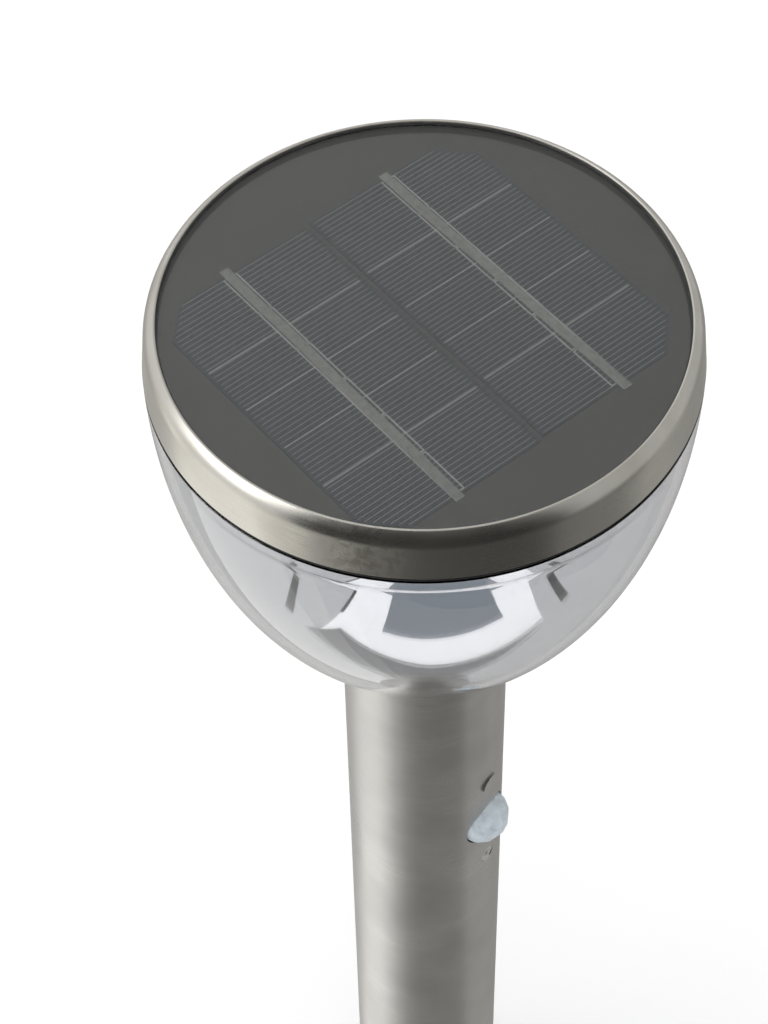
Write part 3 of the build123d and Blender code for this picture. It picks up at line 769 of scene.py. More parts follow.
def cylinder_cut(
    body: bpy.types.Object, profile: Sequence[Point], seats: Sequence[Matrix], segments: int = 96
) -> None:
    """Cuts turned holes out of a mesh.

    Args:
        body: the mesh object that is cut.
        profile: the hole's profile as radius and height.
        seats: where the holes go, in millimetres.
        segments: how many steps each hole turns in.
    """
    for seat in seats:
        cutter = revolve("cutter", profile, segments, seat)
        cut = body.modifiers.new("cut", "BOOLEAN")
        cut.operation = "DIFFERENCE"
        cut.solver = "EXACT"
        cut.object = cutter
        settle(body)
        cutter_mesh = cutter.data
        bpy.data.objects.remove(cutter)
        bpy.data.meshes.remove(cutter_mesh)
    merge(body.data)
    smooth(body)


def merge(mesh: bpy.types.Mesh) -> None:
    """Joins a mesh's points that lie together.

    Args:
        mesh: the mesh that is changed.
    """
    shell = bmesh.new()
    shell.from_mesh(mesh)
    bmesh.ops.remove_doubles(shell, verts=shell.verts, dist=MERGE_GAP)
    bmesh.ops.dissolve_degenerate(shell, edges=shell.edges, dist=MERGE_GAP)
    shell.to_mesh(mesh)
    shell.free()


def settle(thing: bpy.types.Object) -> None:
    """Turns an object's modifiers into plain mesh.

    Args:
        thing: the object that is changed.
    """
    graph = bpy.context.evaluated_depsgraph_get()
    mesh = bpy.data.meshes.new_from_object(thing.evaluated_get(graph), depsgraph=graph)
    thing.modifiers.clear()
    old = thing.data
    thing.data = mesh
    bpy.data.meshes.remove(old)


def refined(node: str, rounding: float = 0.0) -> bpy.types.Object:
    """A merged, smooth copy of a CAD node, with its edges rounded.

    Args:
        node: the CAD node.
        rounding: radius of its edges in millimetres, or 0 for none.

    Returns:
        The copy, still without a finish.
    """
    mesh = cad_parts[node].data.copy()
    shell = bmesh.new()
    shell.from_mesh(mesh)
    bmesh.ops.remove_doubles(shell, verts=shell.verts, dist=MERGE_GAP)
    bmesh.ops.dissolve_limit(
        shell, angle_limit=math.radians(0.5), verts=shell.verts, edges=shell.edges
    )
    bmesh.ops.recalc_face_normals(shell, faces=shell.faces)
    shell.to_mesh(mesh)
    shell.free()
    mesh.materials.clear()
    copy = new_object("fine_" + node, mesh)
    if rounding > 0.0:
        bevel = copy.modifiers.new("rounding", "BEVEL")
        bevel.width = rounding * MM
        bevel.segments = 2
        bevel.limit_method = "ANGLE"
        bevel.angle_limit = math.radians(40.0)
        settle(copy)
    return smooth(copy)


# ------------------------------------------------------------------------------- repeats
class Pattern:
    """A Geometry Nodes group with named inputs that lays out one kind of repeat."""

    def __init__(self, name: str, inputs: Mapping[str, str]) -> None:
        """Starts a group.

        Args:
            name: the group's name.
            inputs: its inputs' names, with the kind of each, such as Float or Int.
        """
        self.group = bpy.data.node_groups.new(name, "GeometryNodeTree")
        self.group.is_modifier = True
        faces = self.group.interface
        for label, kind in {**inputs, "Finish": "Material"}.items():
            faces.new_socket(label, in_out="INPUT", socket_type="NodeSocket" + kind)
        faces.new_socket("Geometry", in_out="OUTPUT", socket_type="NodeSocketGeometry")
        self.entry = self.group.nodes.new("NodeGroupInput")

    def given(self, label: str) -> bpy.types.NodeSocket:
        """The value of one of the group's inputs."""
        return self.entry.outputs[label]

    def node(
        self, kind: str, inputs: Optional[Mapping[Any, Value]] = None, **settings: Any
    ) -> bpy.types.Node:
        """Adds a node.

        Args:
            kind: its full type name.
            inputs: values or sockets by input name or number.
            settings: the node's own properties.

        Returns:
            The new node.
        """
        made = self.group.nodes.new(kind)
        for key, value in settings.items():
            setattr(made, key, value)
        for key, value in (inputs or {}).items():
            if isinstance(value, bpy.types.NodeSocket):
                self.group.links.new(value, made.inputs[key])
            else:
                made.inputs[key].default_value = value
        return made

    def calc(self, operation: str, first: Value, second: Value = 0.0) -> bpy.types.NodeSocket:
        """One step of arithmetic on two values."""
        return self.node("ShaderNodeMath", {0: first, 1: second}, operation=operation).outputs[0]

    def vector(self, x: Value = 0.0, y: Value = 0.0, z: Value = 0.0) -> bpy.types.NodeSocket:
        """A vector of three values."""
        return self.node("ShaderNodeCombineXYZ", {0: x, 1: y, 2: z}).outputs[0]

    def box(self, x: Value, y: Value, z: Value, at: Value) -> bpy.types.NodeSocket:
        """A box of some size with its centre at a vector.

        Args:
            x: its size along X.
            y: its size along Y.
            z: its size along Z.
            at: its centre.

        Returns:
            The box's geometry.
        """
        cube = self.node("GeometryNodeMeshCube", {"Size": self.vector(x, y, z)}).outputs["Mesh"]
        moved = self.node("GeometryNodeTransform", {"Geometry": cube, "Translation": at})
        return moved.outputs["Geometry"]

    def joined(self, parts: Sequence[bpy.types.NodeSocket]) -> bpy.types.NodeSocket:
        """Several geometries as one.

        Args:
            parts: the geometries.

        Returns:
            The joined geometry.
        """
        join = self.node("GeometryNodeJoinGeometry")
        for part in parts:
            self.group.links.new(part, join.inputs[0])
        return join.outputs[0]

    def finish(self, geometry: bpy.types.NodeSocket) -> None:
        """Realizes the copies, sets their material and closes the group.

        Args:
            geometry: the placed copies.
        """
        real = self.node("GeometryNodeRealizeInstances", {"Geometry": geometry}).outputs[0]
        named = self.node(
            "GeometryNodeSetMaterial", {"Geometry": real, "Material": self.given("Finish")}
        )
        self.node("NodeGroupOutput", {"Geometry": named.outputs[0]})

    def grow(
        self, name: str, finish: Finish, values: Mapping[str, Any], place: Optional[Matrix] = None
    ) -> bpy.types.Object:
        """Runs the group once and keeps the result as a plain mesh.

        Args:
            name: the piece's name.
            finish: the piece's finish.
            values: the inputs by name, with lengths in metres.
            place: where the pattern goes, in metres, or None to leave it at the origin.

        Returns:
            The piece.
        """
        seed = new_object(name + "_seed", bpy.data.meshes.new(name + "_seed"))
        run = seed.modifiers.new("pattern", "NODES")
        run.node_group = self.group
        given = {**values, "Finish": finish.material()}
        for item in self.group.interface.items_tree:
            if item.in_out == "INPUT":
                run[item.identifier] = given[item.name]
        graph = bpy.context.evaluated_depsgraph_get()
        mesh = bpy.data.meshes.new_from_object(seed.evaluated_get(graph), depsgraph=graph)
        mesh.transform(place or Matrix.Identity(4))
        seed_mesh = seed.data
        bpy.data.objects.remove(seed)
        bpy.data.meshes.remove(seed_mesh)
        mesh.name = name
        return new_object(name, mesh)


def finger_pattern() -> Pattern:
    """Printed fingers of a half cell: bars along X in a row along Y, cut back at two corners.

    Returns:
        The pattern.
    """
    rows = Pattern("finger_rows", {
        "Count": "Int", "Pitch": "Float", "Length": "Float", "Width": "Float", "Height": "Float",
        "Corner": "Float", "Side": "Float",
    })
    count = rows.given("Count")
    half = rows.calc("MULTIPLY", rows.calc("SUBTRACT", count, 1.0), 0.5)
    first = rows.vector(0.0, rows.calc("MULTIPLY", half, rows.calc("MULTIPLY", rows.given("Pitch"), -1.0)))
    line = rows.node("GeometryNodeMeshLine", {
        "Count": count,
        "Start Location": first,
        "Offset": rows.vector(0.0, rows.given("Pitch")),
    }, mode="OFFSET").outputs["Mesh"]
    index = rows.node("GeometryNodeInputIndex").outputs[0]
    from_middle = rows.calc("ABSOLUTE", rows.calc("SUBTRACT", index, half))
    to_end = rows.calc("MULTIPLY", rows.calc("SUBTRACT", half, from_middle), rows.given("Pitch"))
    cut = rows.calc("MAXIMUM", rows.calc("SUBTRACT", rows.given("Corner"), to_end), 0.0)
    length = rows.calc("SUBTRACT", rows.given("Length"), cut)
    shift = rows.calc("MULTIPLY", rows.calc("MULTIPLY", cut, -0.5), rows.given("Side"))
    placed = rows.node("GeometryNodeSetPosition", {"Geometry": line, "Offset": rows.vector(shift)})
    unit = rows.node("GeometryNodeMeshCube", {"Size": (1.0, 1.0, 1.0)}).outputs["Mesh"]
    bars = rows.node("GeometryNodeInstanceOnPoints", {
        "Points": placed.outputs[0],
        "Instance": unit,
        "Scale": rows.vector(length, rows.given("Width"), rows.given("Height")),
    })
    rows.finish(bars.outputs[0])
    return rows


def ladder_pattern() -> Pattern:
    """Printed busbar: hollow rectangles in a row along Y.

    Returns:
        The pattern.
    """
    rows = Pattern("busbar_ladder", {
        "Count": "Int", "Length": "Float", "Gap": "Float", "Width": "Float", "Line": "Float",
        "Height": "Float",
    })
    line, height = rows.given("Line"), rows.given("Height")
    length, width = rows.given("Length"), rows.given("Width")
    half_length = rows.calc("MULTIPLY", length, 0.5)
    half_width = rows.calc("MULTIPLY", width, 0.5)
    bars = []
    for sign in (-1.0, 1.0):
        side = rows.vector(rows.calc("MULTIPLY", half_width, sign))
        end = rows.vector(0.0, rows.calc("MULTIPLY", half_length, sign))
        bars.append(rows.box(line, length, height, side))
        bars.append(rows.box(width, line, height, end))
    step = rows.calc("ADD", length, rows.given("Gap"))
    half = rows.calc("MULTIPLY", rows.calc("SUBTRACT", rows.given("Count"), 1.0), -0.5)
    points = rows.node("GeometryNodeMeshLine", {
        "Count": rows.given("Count"),
        "Start Location": rows.vector(0.0, rows.calc("MULTIPLY", half, step)),
        "Offset": rows.vector(0.0, step),
    }, mode="OFFSET").outputs["Mesh"]
    frames = rows.node("GeometryNodeInstanceOnPoints", {"Points": points, "Instance": rows.joined(bars)})
    rows.finish(frames.outputs[0])
    return rows


def ring_pattern() -> Pattern:
    """Boxes on a circle, each turned to face its middle.

    Returns:
        The pattern.
    """
    ring = Pattern("box_ring", {"Count": "Int", "Radius": "Float", "Size": "Vector", "Level": "Float"})
    circle = ring.node("GeometryNodeMeshCircle", {
        "Vertices": ring.given("Count"), "Radius": ring.given("Radius"),
    }).outputs["Mesh"]
    index = ring.node("GeometryNodeInputIndex").outputs[0]
    turn = ring.calc("DIVIDE", ring.calc("MULTIPLY", index, 2.0 * math.pi), ring.given("Count"))
    lifted = ring.node("GeometryNodeSetPosition", {
        "Geometry": circle, "Offset": ring.vector(0.0, 0.0, ring.given("Level")),
    }).outputs[0]
    cube = ring.node("GeometryNodeMeshCube", {"Size": ring.given("Size")}).outputs["Mesh"]
    boxes = ring.node("GeometryNodeInstanceOnPoints", {
        "Points": lifted, "Instance": cube, "Rotation": ring.vector(0.0, 0.0, turn),
    })
    ring.finish(boxes.outputs[0])
    return ring


def coil_pattern() -> Pattern:
    """Tapered springs side by side along X, each coiled up along Z from its plate.

    Returns:
        The pattern.
    """
    coils = Pattern("contact_coils", {
        "Count": "Int", "Pitch": "Float", "Wide": "Float", "Narrow": "Float", "Height": "Float",
        "Wire": "Float", "Turns": "Float", "Plate": "Float",
    })
    wire = coils.given("Wire")
    spiral = coils.node("GeometryNodeCurveSpiral", {
        "Resolution": 48,
        "Rotations": coils.given("Turns"),
        "Start Radius": coils.given("Wide"),
        "End Radius": coils.given("Narrow"),
        "Height": coils.given("Height"),
    }).outputs[0]
    section = coils.node("GeometryNodeCurvePrimitiveCircle", {"Resolution": 10, "Radius": wire})
    swept = coils.node("GeometryNodeCurveToMesh", {
        "Curve": spiral, "Profile Curve": section.outputs[0], "Fill Caps": True,
    }).outputs[0]
    lifted = coils.node("GeometryNodeTransform", {
        "Geometry": swept, "Translation": coils.vector(0.0, 0.0, coils.calc("MULTIPLY", wire, 1.5)),
    }).outputs[0]
    plate_middle = coils.vector(0.0, 0.0, coils.calc("MULTIPLY", wire, 0.5))
    plate = coils.box(coils.given("Plate"), coils.given("Plate"), wire, plate_middle)
    half = coils.calc("MULTIPLY", coils.calc("SUBTRACT", coils.given("Count"), 1.0), -0.5)
    points = coils.node("GeometryNodeMeshLine", {
        "Count": coils.given("Count"),
        "Start Location": coils.vector(coils.calc("MULTIPLY", half, coils.given("Pitch"))),
        "Offset": coils.vector(coils.given("Pitch")),
    }, mode="OFFSET").outputs["Mesh"]
    contacts = coils.node("GeometryNodeInstanceOnPoints", {
        "Points": points, "Instance": coils.joined([lifted, plate]),
    })
    coils.finish(contacts.outputs[0])
    return coils


# ------------------------------------------------------------------------------- the light's pieces
@dataclass
class Assembly:
    """One group of pieces that ride on the same body."""

    body: Body

    def fit(
        self, piece: bpy.types.Object, finish: Finish, replaced: Sequence[str] = ()
    ) -> bpy.types.Object:
        """Gives a piece its finish and ties it to the assembly's body.

        Args:
            piece: the mesh object, in place.
            finish: its finish.
            replaced: the CAD nodes that it stands for.

        Returns:
            The piece.
        """
        piece.data.materials.clear()
        piece.data.materials.append(finish.material())
        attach(piece, self.body.value)
        if replaced:
            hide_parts(*replaced)
        log.info("%s on %s: %d faces", piece.name, self.body.value, len(piece.data.polygons))
        return piece

    def fit_copies(self, finishes: Mapping[str, Finish], rounding: float = 0.0) -> None:
        """Stands merged copies in for CAD nodes.

        Args:
            finishes: each node's finish by the node's name.
            rounding: radius of their edges in millimetres.
        """
        for node, finish in finishes.items():
            self.fit(refined(node, rounding), finish, (node,))


@dataclass
class Rim(Assembly):
    """The stamped ring round the glass, with its two seals."""

    body: Body = Body.HEAD
    radius: float = 90.0
    top: float = 600.0
    bottom: float = 581.6
    shoulder: Point = (88.78, 594.3)
    bend: float = 7.0
    slope: float = 45.0
    sheet: float = 0.6
    lip: float = 84.5
    under: float = 599.0
    bead: tuple[Point, ...] = (
        (1.0, 0.16), (0.75, 0.03), (0.55, 0.0), (0.3, 0.05), (0.05, 0.25), (0.0, 0.45),
    )
    outer_ease: float = 0.15
    inner_ease: float = 0.1
    gasket_wall: float = 0.8
    gasket_flap: float = 0.5
    seal_inner: float = 86.52
    seal_outer: float = 89.4
    seal_height: float = 1.7
    seal_bulge: float = 0.3

    def build(self) -> None:
        """Makes the ring and the seals."""
        self.fit(revolve("rim", self.profile(), RIM_SEGMENTS), RIM_STEEL, ("rim_ring",))
        wall = GLASS_R + self.gasket_wall
        flap = self.lip - self.gasket_flap
        gasket = [
            (GLASS_R, LAMINATE_UNDER), (wall, LAMINATE_UNDER), (wall, GLASS_TOP - 0.25),
            (GLASS_R + 0.2, self.under), (flap + 0.2, self.under), (flap, self.under - 0.15),
            (flap, GLASS_TOP), (GLASS_R, GLASS_TOP),
        ]
        self.fit(revolve("glass_seal", gasket, RIM_SEGMENTS), BLACK_RUBBER, ("glass_gasket",))
        low = self.bottom - self.seal_height
        middle = (self.seal_outer, (low + self.bottom) / 2)
        squeezed = [
            (self.seal_inner, low), (self.seal_outer, low), *arc(middle, self.seal_bulge, -60.0, 60.0, 4),
            (self.seal_outer, self.bottom), (self.seal_inner, self.bottom),
        ]
        self.fit(revolve("rim_bead", squeezed, RIM_SEGMENTS), BLACK_RUBBER, ("rim_seal",))

    def profile(self) -> list[Point]:
        """The sheet's section: drafted skirt, rolled shoulder and a lip that slopes up to a bead.

        Returns:
            The section's corners, in order.
        """
        corner, level = self.shoulder
        draft = math.degrees(math.atan2(self.radius - corner, level - self.bottom))
        outside = self.roll(corner, self.bend, draft)
        inside = self.roll(corner - self.sheet, self.bend - self.sheet, draft)
        inside.reverse()
        bend_r, bend_z = inside[0]
        return [
            (self.radius - self.outer_ease, self.bottom),
            (self.radius, self.bottom + self.outer_ease),
            *outside,
            *((self.lip + out, self.top - down) for out, down in self.bead),
            (self.lip, self.under),
            (bend_r - (self.under - bend_z), self.under),
            *inside,
            (self.radius - self.sheet, self.bottom + self.inner_ease),
            (self.radius - self.sheet + self.inner_ease, self.bottom),
        ]

    def roll(self, start: float, radius: float, draft: float) -> list[Point]:
        """One face of the rolled shoulder.

        Args:
            start: its radius from the light's axis where the skirt ends.
            radius: radius of the roll.
            draft: lean of the skirt in degrees.

        Returns:
            Points from the skirt to the lip.
        """
        lean = math.radians(draft)
        middle = (start - radius * math.cos(lean), self.shoulder[1] - radius * math.sin(lean))
        return arc(middle, radius, draft, self.slope, 16)


@dataclass
class Panel(Assembly):
    """The glass, and the solar cells on their laminate behind it."""

    body: Body = Body.HEAD
    turn: float = -15.0
    shift: Point = (-2.9, -2.3)
    width: float = 127.0
    length: float = 115.0
    gap: float = 1.8
    step: float = 0.5
    corner: float = 11.4
    cell_top: float = 595.2
    busbar: float = 32.9
    finger_count: int = 61
    finger_width: float = 0.17
    print_height: float = 0.03
    cross_count: int = 4
    cross_width: float = 0.42
    margin: float = 1.1
    glass_thickness: float = 3.2
    glass_bevel: float = 0.4
    sheet_radius: float = 85.0
    sheet_thickness: float = 0.7
    ribbon_length: float = 119.0
    ribbon_half: float = 1.75
    ribbon_low: float = 0.06
    ribbon_high: float = 0.18

    def build(self) -> None:
        """Makes the glass, the sheet, the cells and all that is printed on them."""
        under = GLASS_TOP - self.glass_thickness
        bevel = self.glass_bevel
        glass = [
            (0.0, under), (GLASS_R - bevel, under), (GLASS_R, under + bevel),
            (GLASS_R, GLASS_TOP - bevel), (GLASS_R - bevel, GLASS_TOP), (0.0, GLASS_TOP),
        ]
        self.fit(revolve("panel_glass", glass, 192), SOLAR_GLASS, ("cover_glass",))
        sheet_top = LAMINATE_UNDER + self.sheet_thickness
        sheet = [
            (0.0, LAMINATE_UNDER), (self.sheet_radius, LAMINATE_UNDER), (self.sheet_radius, sheet_top),
            (0.0, sheet_top),
        ]
        self.fit(revolve("laminate", sheet, 192), BACKSHEET, ("backsheet",))
        self.fit_copies({"solar_cell_a": SOLAR_CELL, "solar_cell_b": SOLAR_CELL})
        fingers = finger_pattern()
        ladder = ladder_pattern()
        for name, side in (("a", -1), ("b", 1)):
            self.print_cell(name, side, fingers, ladder)
        self.fit(self.ribbons(), RIBBON, ("busbar_ribbons",))

    def half_width(self) -> float:
        """Width of a half cell, along its fingers."""
        return (self.width - self.gap) / 2

    def seat(self, along: float, across: float, height: float) -> Matrix:
        """Place in metres of a point of the turned array.

        Args:
            along: distance from the array's middle along the fingers, in millimetres.
            across: distance along the busbars.
            height: level above the ground.

        Returns:
            The place, turned with the array.
        """
        turned = Matrix.Rotation(math.radians(self.turn), 4, "Z")
        local = Vector((self.shift[0] + along, self.shift[1] + across, height)) * MM
        return turned @ Matrix.Translation(local)

    def print_cell(self, name: str, side: int, fingers: Pattern, ladder: Pattern) -> None:
        """Prints the fingers, the cross bars and the busbar of one half cell.

        Args:
            name: the half cell's letter.
            side: −1 or 1, the side of the array that it lies on.
            fingers: the pattern of the fingers.
            ladder: the pattern of the busbar.
        """
        middle = side * (self.half_width() + self.gap) / 2
        seat = self.seat(middle, side * self.step, self.cell_top + self.print_height / 2)
        inner_length = self.length - 2 * self.margin
        rows = {
            "Length": (self.half_width() - 2 * self.margin) * MM,
            "Height": self.print_height * MM,
            "Corner": (self.corner - self.margin) * MM,
            "Side": float(side),
        }
        fine = {
            **rows,
            "Count": self.finger_count,
            "Pitch": inner_length / (self.finger_count - 1) * MM,
            "Width": self.finger_width * MM,
        }
        self.fit(fingers.grow("fingers_" + name, SILVER_PRINT, fine, seat), SILVER_PRINT)
        cross = {
            **rows,
            "Count": self.cross_count,
            "Pitch": self.length / (self.cross_count + 2) * MM,
            "Width": self.cross_width * MM,
            "Corner": 0.0,
        }
        self.fit(fingers.grow("cross_bars_" + name, SILVER_PRINT, cross, seat), SILVER_PRINT)
        bar = {
            "Count": 6,
            "Length": 18.0 * MM,
            "Gap": 0.9 * MM,
            "Width": 5.0 * MM,
            "Line": 0.5 * MM,
            "Height": 0.05 * MM,
        }
        bar_seat = self.seat(side * self.busbar, side * self.step, self.cell_top + 0.025)
        self.fit(ladder.grow("busbar_" + name, SILVER_PRINT, bar, bar_seat), SILVER_PRINT)

    def ribbons(self) -> bpy.types.Object:
        """Two solder ribbons, laid by hand and so not quite straight.

        Returns:
            The two as one mesh.
        """
        points: list[Vector] = []
        faces: list[list[int]] = []
        steps = 24
        half, low, high = self.ribbon_half, self.ribbon_low, self.ribbon_high
        section = ((-half, low), (half, low), (half, high), (-half, high))
        for side, lean in ((-1, 0.55), (1, -0.5)):
            for step in range(steps + 1):
                along = (step / steps - 0.5) * self.ribbon_length
                lean_here = lean * along / (self.ribbon_length / 2)
                drift = side * 0.35 + lean_here + 0.12 * math.sin(along / 9.0 + side)
                for across, height in section:
                    place = self.seat(side * self.busbar + drift + across, along, self.cell_top + height)
                    points.append(place.to_translation() / MM)
            base = len(points) - 4 * (steps + 1)
            for step in range(steps):
                near = base + 4 * step
                for corner in range(4):
                    after = (corner + 1) % 4
                    faces.append([near + corner, near + after, near + 4 + after, near + 4 + corner])
            faces.append([base + corner for corner in range(4)])
            faces.append([base + 4 * steps + corner for corner in range(4)])
        return smooth(from_points("ribbons", points, faces))


@dataclass
class Bowl(Assembly):
    """The clear bowl with its half-mirror liner, and what stands inside it."""

    body: Body = Body.STAND
    radius: float = 90.0
    drop: float = 147.6
    wall: float = 2.4
    top: float = 579.9
    bottom: float = 442.44
    stub: float = 28.4
    floor_top: float = 441.2
    floor_low: float = 438.0
    conduit_radii: Point = (3.8, 5.0)
    conduit_ends: Point = (430.0, 548.0)
    liner_collar: float = 87.3
    liner_sheet: float = 0.8

    def build(self) -> None:
        """Makes the bowl, the liner, the conduit and the socket."""
        self.fit(revolve("bowl_shell", self.shell()), CLEAR_BOWL, ("bowl",))
        self.fit(revolve("liner", self.liner()), HALF_MIRROR, ("mirror_liner",))
        inner, outer = self.conduit_radii
        low, high = self.conduit_ends
        conduit = [(inner, low), (outer, low), (outer, high), (inner, high)]
        self.fit(revolve("conduit", conduit, 64), CONDUIT_METAL, ("cable_tube",))
        self.fit_copies({"post_socket": CONNECTOR_PLASTIC, "socket_pins": PIN_GOLD})
        self.fit_copies({"sensor_cable": CABLE_BLACK, "bowl_gasket": CLEAR_SILICONE})
        self.fit_copies({"bowl_screws": SCREW_STEEL, "post_cap": CAP_METAL}, 0.3)

    def shell(self) -> list[Point]:
        """Section of the bowl's wall, floor and stub.

        Returns:
            The section's corners, in order.
        """
        inner_foot = self.floor_top + 4.8
        outside = bowl_curve(self.radius, self.drop, self.top - 0.3, self.bottom)
        inside = bowl_curve(self.radius - self.wall, self.drop - self.wall, self.top - 0.3, inner_foot)
        lip = [(self.radius - self.wall + 0.3, self.top), (self.radius - 0.3, self.top)]
        return [
            *outside,
            (self.stub, self.bottom),
            (self.stub, self.floor_low),
            (5.1, self.floor_low),
            (5.1, self.floor_top),
            (26.0, self.floor_top),
            *reversed(inside),
            *lip,
        ]

    def liner(self) -> list[Point]:
        """Section of the liner: collar, kink, drawn wall and floor.

        Returns:
            The section's corners, in order.
        """
        collar, sheet = self.liner_collar, self.liner_sheet
        outer_r, outer_drop = collar - 0.6, self.drop - self.wall - 0.9
        outside = bowl_curve(outer_r, outer_drop, 571.0, 451.4)
        inside = bowl_curve(outer_r - sheet, outer_drop - sheet, 571.2, 452.2)
        return [
            (collar, 579.4),
            (collar, 574.2),
            (collar - 0.1, 573.7),
            *outside,
            (outside[-1][0] - 0.5, 451.0),
            (5.4, 451.0),
            (5.4, 451.8),
            (inside[-1][0] - 0.6, 451.8),
            *reversed(inside),
            (collar - sheet - 0.1, 573.9),
            (collar - sheet, 574.4),
            (collar - sheet, 579.4),
        ]


@dataclass
class Post(Assembly):
    """The brushed tube and the foot that it stands on."""

    body: Body = Body.STAND
    radius: float = 30.0
    wall: float = 1.5
    bottom: float = 7.0
    top: float = 442.44
    screw_span: float = 26.5
    window: float = 11.6
    foot: float = 62.0
    foot_bore: float = 22.0
    plate_under: float = 2.0
    plate_top: float = 7.0
    plate_edge: float = 2.0
    collar: float = 34.0
    collar_top: float = 22.0
    collar_socket: float = 30.05
    fillet: float = 1.2
    anchor_count: int = 3
    anchor_circle: float = 49.0
    anchor: float = 3.5
    clamp_level: float = 14.5

    def build(self) -> None:
        """Makes the tube, the flange and the pad."""
        tube = revolve("tube", self.tube(), 256)
        window = [(0.0, -8.0), (self.window, -8.0), (self.window, 8.0), (0.0, 8.0)]
        cylinder_cut(tube, window, [facing_front(-self.radius, SENSOR_LEVEL)])
        sink = [(0.0, -6.0), (2.2, -6.0), (2.2, -1.7), (3.9, 0.0), (4.6, 0.7), (0.0, 0.7)]
        levels = (SENSOR_LEVEL - self.screw_span, SENSOR_LEVEL + self.screw_span)
        cylinder_cut(tube, sink, [facing_front(-self.radius, level) for level in levels], 64)
        self.fit(tube, BRUSHED_POST, ("post_tube",))
        self.build_foot()

    def tube(self) -> list[Point]:
        """Section of the tube, with the cut ends eased.

        Returns:
            The section's corners, in order.
        """
        inner = self.radius - self.wall
        return [
            (self.radius - 0.25, self.bottom),
            (self.radius, self.bottom + 0.25),
            (self.radius, self.top - 0.25),
            (self.radius - 0.25, self.top),
            (inner, self.top),
            (inner, self.bottom),
        ]

    def build_foot(self) -> None:
        """Makes the flange with its holes, its screws and the pad."""
        edge, fillet, top = self.plate_edge, self.fillet, self.plate_top
        section = [
            (self.foot_bore, self.plate_under),
            (self.foot, self.plate_under),
            *arc((self.foot - edge, top - edge), edge, 0.0, 90.0, 8),
            (self.collar + fillet, top),
            *arc((self.collar + fillet, top + fillet), fillet, -90.0, -180.0, 5),
            *arc((self.collar - fillet, self.collar_top - fillet), fillet, 0.0, 90.0, 6),
            (self.collar_socket, self.collar_top),
            (self.collar_socket, top),
            (self.foot_bore, top),
        ]
        flange = revolve("flange", section, 256)
        hole = [(0.0, -8.0), (self.anchor, -8.0), (self.anchor, 0.0), (0.0, 0.0)]
        turns = [360.0 / self.anchor_count * turn for turn in range(self.anchor_count)]
        angles = [math.radians(90.0 + turn) for turn in turns]
        circle = self.anchor_circle
        anchors = [Matrix.Translation((circle * math.cos(a), circle * math.sin(a), 8.0)) for a in angles]
        cylinder_cut(flange, hole, anchors, 48)
        thread = [(0.0, 28.0), (2.5, 28.0), (2.5, 40.0), (0.0, 40.0)]
        turned = [Matrix.Rotation(math.radians(30.0 + turn), 4, "Z") for turn in turns]
        lying = Matrix.Translation((0.0, 0.0, self.clamp_level)) @ Matrix.Rotation(math.radians(90.0), 4, "Y")
        cylinder_cut(flange, thread, [turn @ lying for turn in turned], 32)
        self.fit(flange, FLANGE_STEEL, ("base_flange",))
        self.fit_copies({"collar_screws": SCREW_STEEL}, 0.15)
        self.fit_copies({"foot_pad": PAD_RUBBER})


@dataclass
class Sensor(Assembly):
    """The motion sensor in the post's side."""

    body: Body = Body.STAND
    centre: float = -26.0
    radius: float = 11.3
    wall: float = 0.9
    flange: float = 13.8
    flange_face: float = -1.6
    flange_back: float = -2.8
    facet_rings: tuple[tuple[float, int], ...] = ((0.0, 1), (29.0, 6), (56.0, 11), (83.0, 15))
    facet_reach: float = 15.5

    def build(self) -> None:
        """Makes the faceted lens and finishes the parts behind it."""
        self.fit(self.lens(), DOME_PLASTIC, ("sensor_dome",))
        self.fit_copies({"sensor_screws": SCREW_STEEL}, 0.12)
        self.fit_copies({"sensor_holder": TRAY_PLASTIC})
        self.fit_copies({"sensor_board": BOARD_GREEN, "sensor_can": CAN_STEEL})

    def facets(self) -> list[Vector]:
        """Directions of the lens's pressed facets, in rings round its axis.

        Returns:
            Unit vectors, with the axis along Z.
        """
        directions = []
        for tilt, count in self.facet_rings:
            side, ahead = math.sin(math.radians(tilt)), math.cos(math.radians(tilt))
            for turn in range(count):
                angle = 2.0 * math.pi * turn / count
                directions.append(Vector((side * math.cos(angle), side * math.sin(angle), ahead)))
        return directions

    def lens(self) -> bpy.types.Object:
        """A domed shell whose outside is pressed into facets, on a flange.

        Returns:
            The lens.
        """
        inner = self.radius - self.wall
        profile = [
            (0.0, self.radius),
            *arc((0.0, 0.0), self.radius, 90.0, 0.0, 40)[1:],
            (self.radius, self.flange_face),
            (self.flange, self.flange_face),
            (self.flange, self.flange_back),
            (inner, self.flange_back),
            *arc((0.0, 0.0), inner, 0.0, 90.0, 30)[:-1],
            (0.0, inner),
        ]
        seat = facing_front(self.centre, SENSOR_LEVEL)
        dome = revolve("sensor_lens", profile, 160, seat)
        facets = self.facets()
        back = seat.inverted()
        flat = self.radius * math.cos(math.radians(self.facet_reach))
        for vertex in dome.data.vertices:
            local = back @ (vertex.co / MM)
            if abs(local.length - self.radius) < 0.01 and local.z >= 0.0:
                ahead = local.normalized()
                reach = min(flat / max(ahead.dot(facet), 0.05) for facet in facets)
                vertex.co = (seat @ (ahead * min(reach, self.radius))) * MM
        dome.data.update()
        return smooth(dome, 9.0)


